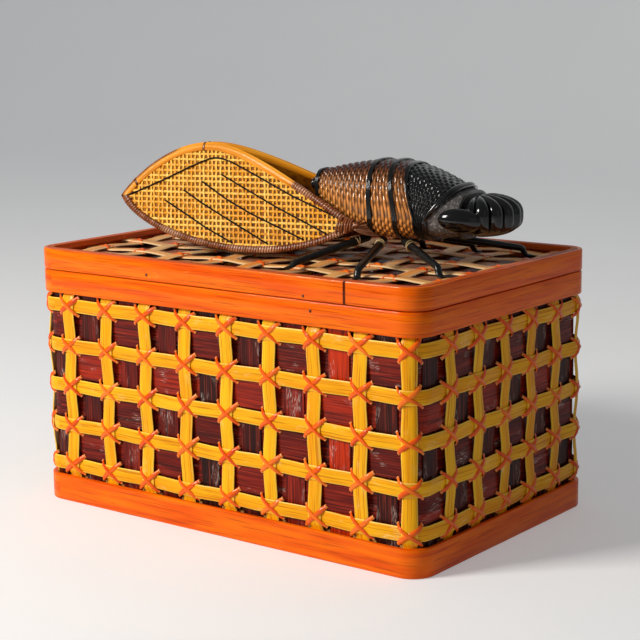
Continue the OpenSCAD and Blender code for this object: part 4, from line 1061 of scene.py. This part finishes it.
def bead(centre, half_sizes, yaw, pitch, levels=20, columns=36):
    """A long bead: an ellipsoid from a turn and a level, tipped by a pitch and turned by a yaw."""
    level, turn = np.radians(np.linspace(-88, 88, levels))[:, None], turns(columns)
    x = half_sizes[0] * np.sin(level)
    y = half_sizes[1] * np.cos(level) * np.cos(turn)
    z = half_sizes[2] * np.cos(level) * np.sin(turn)
    x, z = x * math.cos(pitch) + z * math.sin(pitch), z * math.cos(pitch) - x * math.sin(pitch)
    x, y = x * math.cos(yaw) - y * math.sin(yaw), y * math.cos(yaw) + x * math.sin(yaw)
    return np.stack([x, y, z], -1) + np.array(centre)


for hand, side in HANDS:
    eye = bead((HEAD_BACK + 0.5, side * 20.0, HEAD_MIDDLE - 1.0), (11.0, 4.5, 6.0),
               yaw=-side * math.radians(14), pitch=math.radians(4))
    piece(f"lacquered_eye_{hand}", ("lid", "black_lacquer", black_lacquer, f"eye_{hand}"),
          on_lid(eye)[None], along=26.0, around=33.0, sharp=180.0)
f, a = np.linspace(0, 1, 18)[:, None], turns(40)
knob = 7.1 * (0.8 - 0.45 * f) * (1 + 0.06 * np.sin(8 * np.pi * f))
points = np.broadcast_arrays(BODY_START - 0.15 - 5.0 * f, knob * np.cos(a), 37.1 + knob * np.sin(a))
piece("black_tail_knob", ("lid", "black_cane", black_cane, "tail_knob"),
      on_lid(np.stack(points, -1))[None], along=5.0, around=35.0, tint=0.2, height=1.0, over=1.0, up=0.0)
print("head triangles", made["lacquered_head"])

# %% [markdown]
# ## Legs
# Six black sticks run from under the belly to the lid and end in small flat feet that point
# outwards. Each is tied near its top with two loops of pale cane. A leg is a tube whose
# centre, width and thickness are read from short tables at shares of its length.

# %% Legs and their ties
HIP = math.radians(58)
hips = body_skin(np.array([0.385, 0.497, 0.6375]), -HIP, 0.0) * [1, -1, 1]
hips += 2.65 * np.array([0, -math.cos(HIP), -math.sin(HIP)])
ankles = {"right": np.array([[20.908, -52.420, 2.8], [60.075, -57.554, 2.8], [93.845, -36.415, 2.8]]),
          "left": np.array([[44.867, 46.205, 2.8], [75.132, 45.991, 2.8], [105.118, 43.797, 2.8]])}
soles = {"right": [0.1, -1.9, -1.9], "left": [-1.9, -1.9, -1.9]}
TIE_THICK = 0.32


def leg_tube(hip, ankle, sole, rows=34, columns=14):
    """A stick from hip to ankle that turns down to a flat toe. Sections stand across the leg's line."""
    line = unit(ankle - hip)
    out = unit(line * [1, 1, 0])
    low = np.array([ankle[0], ankle[1], sole])
    keys = np.stack([hip - 2.2 * line, hip - 0.6 * line, hip + 0.55 * (ankle - hip), ankle - 1.5 * line,
                     low + [0, 0, 1.9], low + 1.2 * out + [0, 0, 1.1], low + 4.2 * out + [0, 0, 0.75]])
    share = np.array([0, 0.06, 0.5, 0.84, 0.9, 0.94, 1.0])
    t = np.linspace(0, 1, rows)
    centre = np.stack([np.interp(t, share, keys[:, k]) for k in range(3)], -1)
    wide = np.interp(t, share, [1.3, 2.2, 2.05, 1.8, 1.8, 1.9, 1.3])
    thick = np.interp(t, share, [1.3, 2.2, 2.0, 1.7, 1.4, 0.95, 0.55])
    across = np.cross(out, [0.0, 0.0, 1.0])
    over = np.cross(unit(np.gradient(centre, axis=0)), across)
    a = turns(columns)
    return (centre[:, None] + (wide[:, None] * np.cos(a))[..., None] * across
            + (thick[:, None] * np.sin(a))[..., None] * over[:, None]), line, across


def tie_ring(centre, line, across, radius, askew):
    """A ring of cane round a leg: a circle of a circle, tipped along the leg by askew."""
    a, b = turns(28)[:, None], turns(7)
    over = np.cross(line, across)
    ring = radius + TIE_THICK * np.cos(b)
    tipped = TIE_THICK * np.sin(b) + askew * np.sin(a)
    return (centre + (ring * np.cos(a))[..., None] * across + (ring * np.sin(a))[..., None] * over
            + tipped[..., None] * line)


ties = []
for hand, side in HANDS:
    for row, name in enumerate(("rear_leg", "middle_leg", "front_leg")):
        hip = hips[row] * [1, -side, 1]
        tube, line, across = leg_tube(hip, ankles[hand][row], soles[hand][row])
        piece(f"black_{name}_{hand}", ("lid", "black_cane", black_stick, f"{name}_{hand}"),
              on_lid(tube)[None], along=45.0, around=13.0)
        ties.append(tie_ring(hip + 5.9 * line, line, across, radius=2.45, askew=0.7))
        ties.append(tie_ring(hip + 6.8 * line, line, across, radius=2.4, askew=-0.5))
piece("cane_leg_ties", ("lid", "tie_cane", pale_cane, "leg_ties"), on_lid(np.array(ties)), along=17.0,
      around=3.1, loop=True, sharp=180.0, tint=dice.random((len(ties), 1, 1)), end=0.0)
print("legs", len(ties) // 2, "ties", len(ties))

# %% [markdown]
# ## The wings
# Each wing is a leaf-shaped frame of bent bamboo, golden along its top and wrapped with brown
# cane below, with a net of thin splints across it and black threads for veins. All of it is
# drawn flat, as (along, up, out), and one function carries it to the roof over the tail.

# %% The wing's plane and outline
DIP, FALL, YAW = np.radians([70.5, 3.75, -6.70805])
WING_LONG, WING_PEAK, WING_PEAK_AT, WING_DROP = 160.0, 36.5, 58.0, 20.5
WING_ROOT_AT, WING_ROOT_UP, RAIL_DEEP = 43.5, 4.5, 1.1


def wing_turn(u, v, w):
    """Turns a point of the wing's plane by its dip, its fall and its yaw."""
    lift, side = v * np.sin(DIP) + w * np.cos(DIP), v * np.cos(DIP) - w * np.sin(DIP)
    run = u * np.cos(FALL) + lift * np.sin(FALL)
    return np.stack([run * np.cos(YAW) - side * np.sin(YAW), run * np.sin(YAW) + side * np.cos(YAW),
                     lift * np.cos(FALL) - u * np.sin(FALL)], -1)


def bezier(points, count):
    """A cubic curve through its two ends, sampled without its last point."""
    t = np.arange(count)[:, None] / count
    a, b, c, d = np.array(points, float)
    return (1 - t) ** 3 * a + 3 * t * (1 - t) ** 2 * b + 3 * t * t * (1 - t) * c + t ** 3 * d


tip, top, root = (0, 0), (WING_PEAK_AT, WING_PEAK), (WING_LONG, WING_ROOT_UP)
after_top = WING_LONG - WING_PEAK_AT
to_top = bezier([tip, (0.12 * WING_PEAK_AT, 0.38 * WING_PEAK), (0.5 * WING_PEAK_AT, WING_PEAK), top], 44)
to_root = bezier([top, (WING_PEAK_AT + 0.24 * after_top, WING_PEAK),
                  (WING_LONG - 0.37 * after_top, 0.5 * WING_PEAK), root], 56)
upper = np.concatenate([to_top, to_root])
lower = bezier([root, (0.73 * WING_LONG, -1.58 * WING_DROP),
                (0.13 * WING_LONG, -1.08 * WING_DROP), tip], 90)
outline = np.concatenate([upper, lower])
both_faces = np.concatenate([wing_turn(*outline.T, w) for w in (-RAIL_DEEP, RAIL_DEEP)])
wing_base = np.array([WING_ROOT_AT - wing_turn(*root, 0.0)[0], -both_faces[:, 1].max() - 0.15,
                      1.5 - both_faces[:, 2].min()])


def on_wing(u, v, w, side):
    """From the wing's plane to the box; the left wing is the right one mirrored in y."""
    points = wing_turn(*np.broadcast_arrays(u, v, w)) + wing_base
    return on_lid(points * np.array([1.0, -side, 1.0]))


print("wing base", np.round(wing_base, 2), "outline points", len(outline))

# %% Finishes of the wings


def rail_finish(name):
    """A golden bent strip, and brown cane wrapped round it where the stored wrap is 1, with painted shade
    in the grooves between its turns.
    """
    material, tree = new_material(name)
    at, wrap = strip_map(tree), stored(tree, "wrap")
    grain = fibres(tree, at, 0.4, 1.4)
    gold = layers(tree, mixed(tree, grain["Streak"], paint(222, 130, 14), paint(250, 174, 52)),
                  (spread(tree, grain["Fibre"], 0.0, 0.35, 0.5, 0.0), paint(164, 84, 10)))
    part = add(tree, "ShaderNodeSeparateXYZ", {0: at}).outputs
    winding = sums(tree, "MULTIPLY_ADD", part[0], 5.2, times(tree, part[1], 0.5))
    groove = sums(tree, "MULTIPLY_ADD", sums(tree, "SINE", winding), 0.5, 0.5)
    patches = spread(tree, cloud(tree, stretched(tree, at, 0.25, 0.3, 0.0, 3.0), detail=3.0), 0.36, 0.66)
    # Painted shade: the grooves between the turns of the wrap are darkened.
    brown = layers(tree, mixed(tree, patches, paint(108, 52, 22), paint(166, 100, 60)),
                   (spread(tree, groove, 0.0, 0.5, 0.8, 0.0), paint(52, 24, 14)))
    height = sums(tree, "MULTIPLY_ADD", times(tree, groove, wrap), 1.5, grain["Height"])
    return coated(material, mixed(tree, wrap, gold, brown), between(tree, wrap, 0.34, 0.5),
                  relief(tree, height, 0.6, 0.0002), gloss=0.08, coat=0.2, coat_rough=0.12)


def net_finish(name):
    """Thin golden splints, each with its own tone, browner in streaks."""
    material, tree = new_material(name)
    tint = stored(tree, "tint")
    grain = fibres(tree, strip_map(tree), tint, 1.2)
    colour = layers(tree, mixed(tree, tint, paint(236, 156, 26), paint(255, 202, 88)),
                    (spread(tree, grain["Streak"], 0.0, 0.5, 0.4, 0.0), paint(190, 108, 14)))
    return coated(material, colour, between(tree, grain["Height"], 0.5, 0.36), gloss=0.08, coat=0.15,
                  coat_rough=0.15)


def hole_shade_finish(name):
    """Painted shade for what the net's holes show: gold near the tip, brown near the root, where the tint
    is 1.
    """
    material, tree = new_material(name)
    noise = spread(tree, cloud(tree, millimetres(tree), 0.16, 4.0, 0.6), 0.4, 0.6)
    gold = mixed(tree, noise, paint(140, 76, 2), paint(190, 120, 12))
    brown = mixed(tree, noise, paint(48, 14, 2), paint(116, 56, 6))
    return coated(material, mixed(tree, stored(tree, "tint"), gold, brown), 0.5, gloss=0.08)


wrapped_rail = rail_finish("wrapped_rail")
golden_net = net_finish("golden_net")
painted_hole_shade = hole_shade_finish("painted_hole_shade")
print("wing finishes:", wrapped_rail.name, golden_net.name, painted_hole_shade.name)

# %% [markdown]
# ## Frame, net and veins
# The frame is one closed strip along the leaf's outline. Splints of the net run up the wing
# and along it, and each waves over and under the others: the wave's sign changes from one
# splint to the next. A thin sheet behind the net closes its holes with painted shade, gold
# near the tip and brown towards the root, so they look shaded and not clear. The veins are
# threads laid on the outer face.

# %% Frames
RAIL_X = np.array([-1, -1, -0.6, 0, 0.6, 1, 1, 0.6, 0, -0.6])
RAIL_Y = np.array([-0.45, 0.45, 0.95, 1, 0.95, 0.45, -0.45, -0.95, -1, -0.95])
RAIL_HALF, RAIL_WORN = 2.2, 0.55
on_upper = np.arange(len(outline)) < len(upper)
rail_u = outline[:, 0]
rail_run = outline_run(*outline.T)
rail_wrap = np.where(on_upper, ease((rail_u - 112.0) / 6.0), 1.0)
tip_edge = ease((36.0 - rail_u) / 8.0)[:, None] * (RAIL_X < -0.5)
rail_wrap = np.maximum(rail_wrap[:, None], tip_edge)
rail_half = RAIL_HALF - RAIL_WORN * np.where(on_upper, ease((rail_u - 90.0) / 40.0), ease(rail_u / 14.0))
outline_step = unit(np.roll(outline, -1, 0) - np.roll(outline, 1, 0))
inward = np.stack([outline_step[:, 1], -outline_step[:, 0]], -1)


def rail_points(side):
    """The frame: outline columns reach from the leaf's edge inwards, 2.2 mm thick."""
    flat = outline[:, None] + (rail_half[:, None] * (1 + RAIL_X))[..., None] * inward[:, None]
    return on_wing(flat[..., 0], flat[..., 1], RAIL_DEEP * RAIL_Y, side)


print("rail round the leaf", round(rail_run[-1], 1), "mm")

# %% Nets and the painted shade behind them
PITCH_U, PITCH_V = 2.93, 3.05
LEAN_U, LEAN_V = -0.315, 0.1
FIRST_U, NET_INSET, NET_WAVE, NET_BOW = 4.0, 2.4, 0.22, 0.12
NET_X, NET_Y = np.array([0.6, 0.0, -0.6, 0.0]), np.array([0.0, 0.22, 0.0, -0.22])


def leaf_edges(u, top_inset, bottom_inset):
    """Lowest and highest place inside the leaf at u, moved in from its outline."""
    return np.interp(u, *lower[::-1].T) + bottom_inset, np.interp(u, *upper.T) - top_inset


def splint_net(side):
    """Net splints as two sets of grids: u = first + lean * v up the wing, v = first + lean * u along it."""
    dense = np.linspace(0.5, 157.0, 600)
    low, high = leaf_edges(dense, NET_INSET, NET_INSET)
    first = np.arange(FIRST_U, 152.0, PITCH_U)
    v_low, v_high = (np.interp(first, dense - LEAN_U * edge, edge) for edge in (low, high))
    v = v_low[:, None] + (v_high - v_low)[:, None] * np.linspace(0, 1, 46)
    u = first[:, None] + 0.2 * dice.standard_normal((len(first), 1)) + LEAN_U * v
    wave = NET_WAVE * np.cos(np.pi * ((v - LEAN_V * u) / PITCH_V + np.arange(len(first))[:, None]))
    bow = NET_BOW * np.sin(v / 21 + 5 * dice.random((len(first), 1)))
    rising = on_wing((u + bow)[..., None] + NET_X, v[..., None], wave[..., None] + NET_Y, side)
    rows = np.arange(-10, 11) * PITCH_V
    line = rows[:, None] + LEAN_V * dense
    inside = (line < high) & (line > low)
    rows, inside = rows[inside.sum(1) > 40], inside[inside.sum(1) > 40]
    begin, end = dense[inside.argmax(1)], dense[::-1][inside[:, ::-1].argmax(1)]
    run = begin[:, None] + (end - begin)[:, None] * np.linspace(0, 1, 118)
    level = rows[:, None] + LEAN_V * run
    number = np.round(rows / PITCH_V)[:, None]
    wave = -NET_WAVE * np.cos(np.pi * ((run - LEAN_U * level - FIRST_U) / PITCH_U + number))
    bow = NET_BOW * np.sin(run / 37 + 5 * dice.random((len(rows), 1)))
    level_set = on_wing(run[..., None], (level + bow)[..., None] + NET_X, wave[..., None] + NET_Y, side)
    return (rising, v), (level_set, run)


def hole_shade_sheet(name, part, side, rows=90, columns=14):
    """A closed thin sheet of painted shade behind the net: across the leaf on its outer face and back on
    its inner one.
    """
    u = np.linspace(3.5, 151.0, rows)[:, None]
    low, high = leaf_edges(u, 1.6, 1.4)
    share = np.concatenate([np.linspace(0, 1, columns), np.linspace(1, 0, columns)])
    out = np.where(np.arange(2 * columns) < columns, -0.45, -0.65)
    # Painted shade: the sheet darkens towards the root and the lower edge of the leaf.
    shade = np.clip(u / 170 + 0.3 * (1 - share) - 0.12, 0, 1)
    points = on_wing(u, low + (high - low) * share, out, side)
    piece(name, part, points[None], u[:, 0], around=100.0, tint=shade)


print("net pitch", PITCH_U, "and", PITCH_V, "mm")

# %% Veins, and the wings put together
VEINS = [[(1.5, -0.6), (7.5, 1.8), (27.4, 12.1), (43.5, 21.3), (54.5, 27.0), (60.0, 28.6), (69.3, 27.6),
          (86.7, 22.6), (115.8, 13.8), (142.0, 7.5), (155.5, 4.4)],
         [(66.2, 19.7), (81.3, 14.9), (107.0, 6.9), (145.2, -3.5)],
         [(54.2, 14.5), (73.6, 6.9), (92.1, 1.3), (128.5, -7.5)],
         [(43.5, 8.2), (57.5, 2.9), (71.5, -1.6), (107.5, -13.0)],
         [(32.7, 1.0), (48.0, -4.2), (65.0, -10.1), (84.5, -15.6)]]


def vein_tubes(side, radius=0.45, rows=60, columns=7):
    """Threads on the wing's outer face: a circle carried along each vein, dipping at each stitch."""
    knots = [np.array(vein).T for vein in VEINS]
    runs = [np.append(0.0, np.cumsum(np.hypot(*np.diff(knot)))) for knot in knots]
    t = np.stack([np.linspace(0, run[-1], rows) for run in runs])
    u, v = (np.stack([np.interp(s, run, knot[k]) for s, run, knot in zip(t, runs, knots)]) for k in (0, 1))
    v[0] = np.convolve(np.pad(v[0], 1, mode="edge"), [0.25, 0.5, 0.25], "valid")
    du, dv = np.moveaxis(unit(np.stack(np.gradient(np.stack([u, v]), axis=2), -1)), -1, 0)[..., None]
    c, s = radius * np.cos(turns(columns)), radius * np.sin(turns(columns))
    w = 0.62 + 0.18 * np.cos(2 * np.pi * t / 7.8)
    return on_wing(u[..., None] - dv * c, v[..., None] + du * c, w[..., None] + s, side), t


net_round = outline_run(NET_X, NET_Y)
for hand, side in HANDS:
    piece(f"wrapped_wing_frame_{hand}", ("lid", "wing_frame", wrapped_rail, f"wing_frame_{hand}"),
          rail_points(side)[None], rail_run, outline_run(RAIL_X * RAIL_HALF, RAIL_Y * RAIL_DEEP), loop=True,
          wrap=rail_wrap)
    (rising, v), (level_set, run) = splint_net(side)
    piece(f"golden_net_up_{hand}", ("lid", "wing_net", golden_net, f"wing_net_{hand}"), rising, v,
          net_round, sharp=60.0, tint=dice.random((len(rising), 1, 1)))
    piece(f"golden_net_along_{hand}", ("lid", "wing_net", golden_net), level_set, run, net_round,
          sharp=60.0, tint=dice.random((len(level_set), 1, 1)))
    hole_shade_sheet(f"painted_shade_sheet_{hand}", ("lid", "wing_net", painted_hole_shade), side)
    tubes, t = vein_tubes(side)
    piece(f"black_veins_{hand}", ("lid", "wing_vein", black_thread, f"wing_veins_{hand}"), tubes, t,
          around=2.8, sharp=180.0)
print("net", made["golden_net_up_right"], made["golden_net_along_right"])
print("veins", made["black_veins_right"])

# %% [markdown]
# ## Knots at the wings' roots
# Brown cane is coiled round the frame's lower rail, one flat turn beside the next: a helix round
# a rounded rectangle. Two short coils tie the golden rail. At the root a few rings of different
# sizes, a little askew, make a knot, and a fan of strands goes on from it to the body.

# %% Root knots and ties on the frame
COIL_PITCH, COIL_WIDE, COIL_THICK = 1.7, 0.72, 0.22
KNOT_U = [149.0, 150.4, 151.8, 153.2, 154.6, 156.0]
KNOT_V = [2.6, 2.8, 3.0, 3.3, 3.6, 3.9]
KNOT_RADIUS = [4.6, 4.4, 4.1, 3.7, 3.3, 2.9]
KNOT_TILT = [0.5, -0.3, 0.4, -0.4, 0.3, 0.0]


def knot_rings(side, thick=0.65):
    """Rings of cane in the plane that crosses the wing's length at u: circles of a circle."""
    a, b = turns(26)[:, None], turns(7)
    u, v, radius, tilt = np.array([KNOT_U, KNOT_V, KNOT_RADIUS, KNOT_TILT])[..., None, None]
    ring = radius + thick * np.cos(b)
    along = u + thick * np.sin(b) + tilt * np.cos(a)
    return on_wing(along, v + ring * np.cos(a), 0.62 * ring * np.sin(a), side)


def rail_coil(starts, length, side):
    """Flat cane coiled round the rail: at run s the turn is s / pitch, on a rounded rectangle.

    The strand's own outline is an ellipse, wide along the rail and thin across it.
    """
    run = np.asarray(starts)[:, None] + np.linspace(0, length, int(12 * length / COIL_PITCH) + 1)
    table = np.column_stack([outline, inward, rail_half])
    u, v, iu, iv, half = (np.interp(run, rail_run, k)[..., None] for k in np.vstack([table, table[:1]]).T)
    a, b = (2 * np.pi * run / COIL_PITCH)[..., None], turns(6)
    across = half + (half + 0.05) * power(np.cos(a), 0.6) + COIL_THICK * np.sin(b) * np.cos(a)
    out = 1.15 * power(np.sin(a), 0.6) + COIL_THICK * np.sin(b) * np.sin(a)
    along = COIL_WIDE * np.cos(b)
    return on_wing(u + iu * across - iv * along, v + iv * across + iu * along, out, side), run


def root_fan(side, count=9, rows=14, radius=0.5):
    """Strands from the wing's root to the body: curves of second degree that bow outwards."""
    share = np.linspace(0, 1, count)
    start = wing_turn(156.0 + 2.0 * share, 4.4 - 2.4 * share, 0.0) + wing_base
    end = body_skin(0.405 + 0.075 * share, np.radians(-8 - 44 * share), 0.3) * [1, -1, 1]
    middle = (start + end) / 2 + np.stack([0 * share, -1.2 - 0.6 * share, -0.4 - 1.6 * share], -1)
    t = np.linspace(0, 1, rows)[None, :, None]
    centre = (1 - t) ** 2 * start[:, None] + 2 * t * (1 - t) * middle[:, None] + t ** 2 * end[:, None]
    line = unit(np.gradient(centre, axis=1))
    over = unit(np.cross(line, [0.0, 0.0, 1.0]))
    b = turns(6)[:, None]
    round_it = np.cos(b) * over[:, :, None] + np.sin(b) * np.cross(line, over)[:, :, None]
    return on_lid((centre[:, :, None] + radius * round_it) * [1.0, -side, 1.0])


to_root_run = rail_run[len(to_top):len(upper)]
WRAP_START = float(np.interp(115.0, to_root[:, 0], to_root_run))
WRAP_LONG = float(rail_run[-1] - 5.0 - WRAP_START)
TIES_AT = np.interp([6.0, 49.0], to_top[:, 0], rail_run[:len(to_top)])
KNOT_PART, COIL_PART = ("lid", "tie_cane", brown_wrap), ("lid", "wing_frame", brown_wrap)
for hand, side in HANDS:
    piece(f"brown_root_knot_{hand}", KNOT_PART, knot_rings(side), along=24.0, around=4.1, loop=True,
          sharp=180.0, tint=dice.random((len(KNOT_U), 1, 1)) * 0.5, end=0.0)
    fan = root_fan(side)
    piece(f"brown_root_fan_{hand}", KNOT_PART, fan, along=16.0, around=3.1, sharp=180.0,
          tint=dice.random((len(fan), 1, 1)), end=0.0)
    coil, run = rail_coil([WRAP_START], WRAP_LONG, side)
    patchy = 0.6 + 0.3 * np.sin(run / 9.1) + 0.25 * np.sin(run / 3.7 + 1.0)
    piece(f"brown_rail_coil_{hand}", COIL_PART, coil, run, around=3.6, sharp=180.0,
          tint=patchy[..., None], end=0.0)
    coil, run = rail_coil(TIES_AT, COIL_PITCH, side)
    piece(f"brown_rail_ties_{hand}", COIL_PART, coil, run, around=3.6, sharp=180.0, tint=0.3, end=0.0)
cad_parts["wing_ties"].material_slots[0].material = brown_peg
print("knots", made["brown_root_knot_right"], "coil", made["brown_rail_coil_right"])

# %% [markdown]
# ## Nails
# Small round nails pin the lid band and the rim. A nail's head is a shallow dome, turned from a
# profile, and sits on the band's face. Only those that can be seen are made.

# %% Nail heads
NAIL_RADIUS = 0.9
NAIL_RING, NAIL_LIFT = np.array([[1.0, 0.9, 0.6, 0.25], [-0.2, 0.12, 0.26, 0.3]])[..., None]


def nail_heads(stations, levels):
    """Domes on the wall: rings of shrinking radius at growing height, with the centre as a cap."""
    a = turns(10)
    s = np.asarray(stations)[:, None, None] + NAIL_RADIUS * NAIL_RING * np.cos(a)
    z = np.asarray(levels)[:, None, None] + NAIL_RADIUS * NAIL_RING * np.sin(a)
    return on_wall(s, -NAIL_LIFT, z)


dark_nail = plain_finish("dark_nail", paint(70, 34, 16), paint(120, 60, 24), 0.8, 0.4, 0.1, 0.0001)
lid_nails, rim_nails = nail_heads([69.6, 171.0], [130.5, 129.3]), nail_heads([175.1], [122.4])
for name, heads, body in (("lid_nails", lid_nails, "lid"), ("rim_nails", rim_nails, "box")):
    piece(name, (body, "lacquered_band", dark_nail), heads, along=3.0, around=5.6)
print("nails", len(lid_nails) + len(rim_nails))

# %% [markdown]
# ## The floor's finish
# The floor is matte and pale, so that it shows the box's shadow and nothing else. It glows a
# little for the camera and for reflections alone, so it looks pale without lighting the box. The
# last step counts the pieces and their triangles.

# %% Floor finish and the count of pieces
material, tree = new_material("pale_paper")
paper = mixed(tree, cloud(tree, millimetres(tree), 0.004), paint(226, 226, 226), paint(234, 234, 233))
seen = add(tree, "ShaderNodeLightPath").outputs
seen = sums(tree, "MAXIMUM", seen["Is Camera Ray"],
            sums(tree, "MAXIMUM", seen["Is Glossy Ray"], seen["Is Transmission Ray"]))
fill(tree, tree.nodes["Principled BSDF"], {"Emission Color": paint(228, 229, 231),
                                           "Emission Strength": times(tree, seen, 0.3)})
floor_mesh.materials.append(coated(material, paper, 0.8))
print("pieces", len(made), "triangles", sum(made.values()))
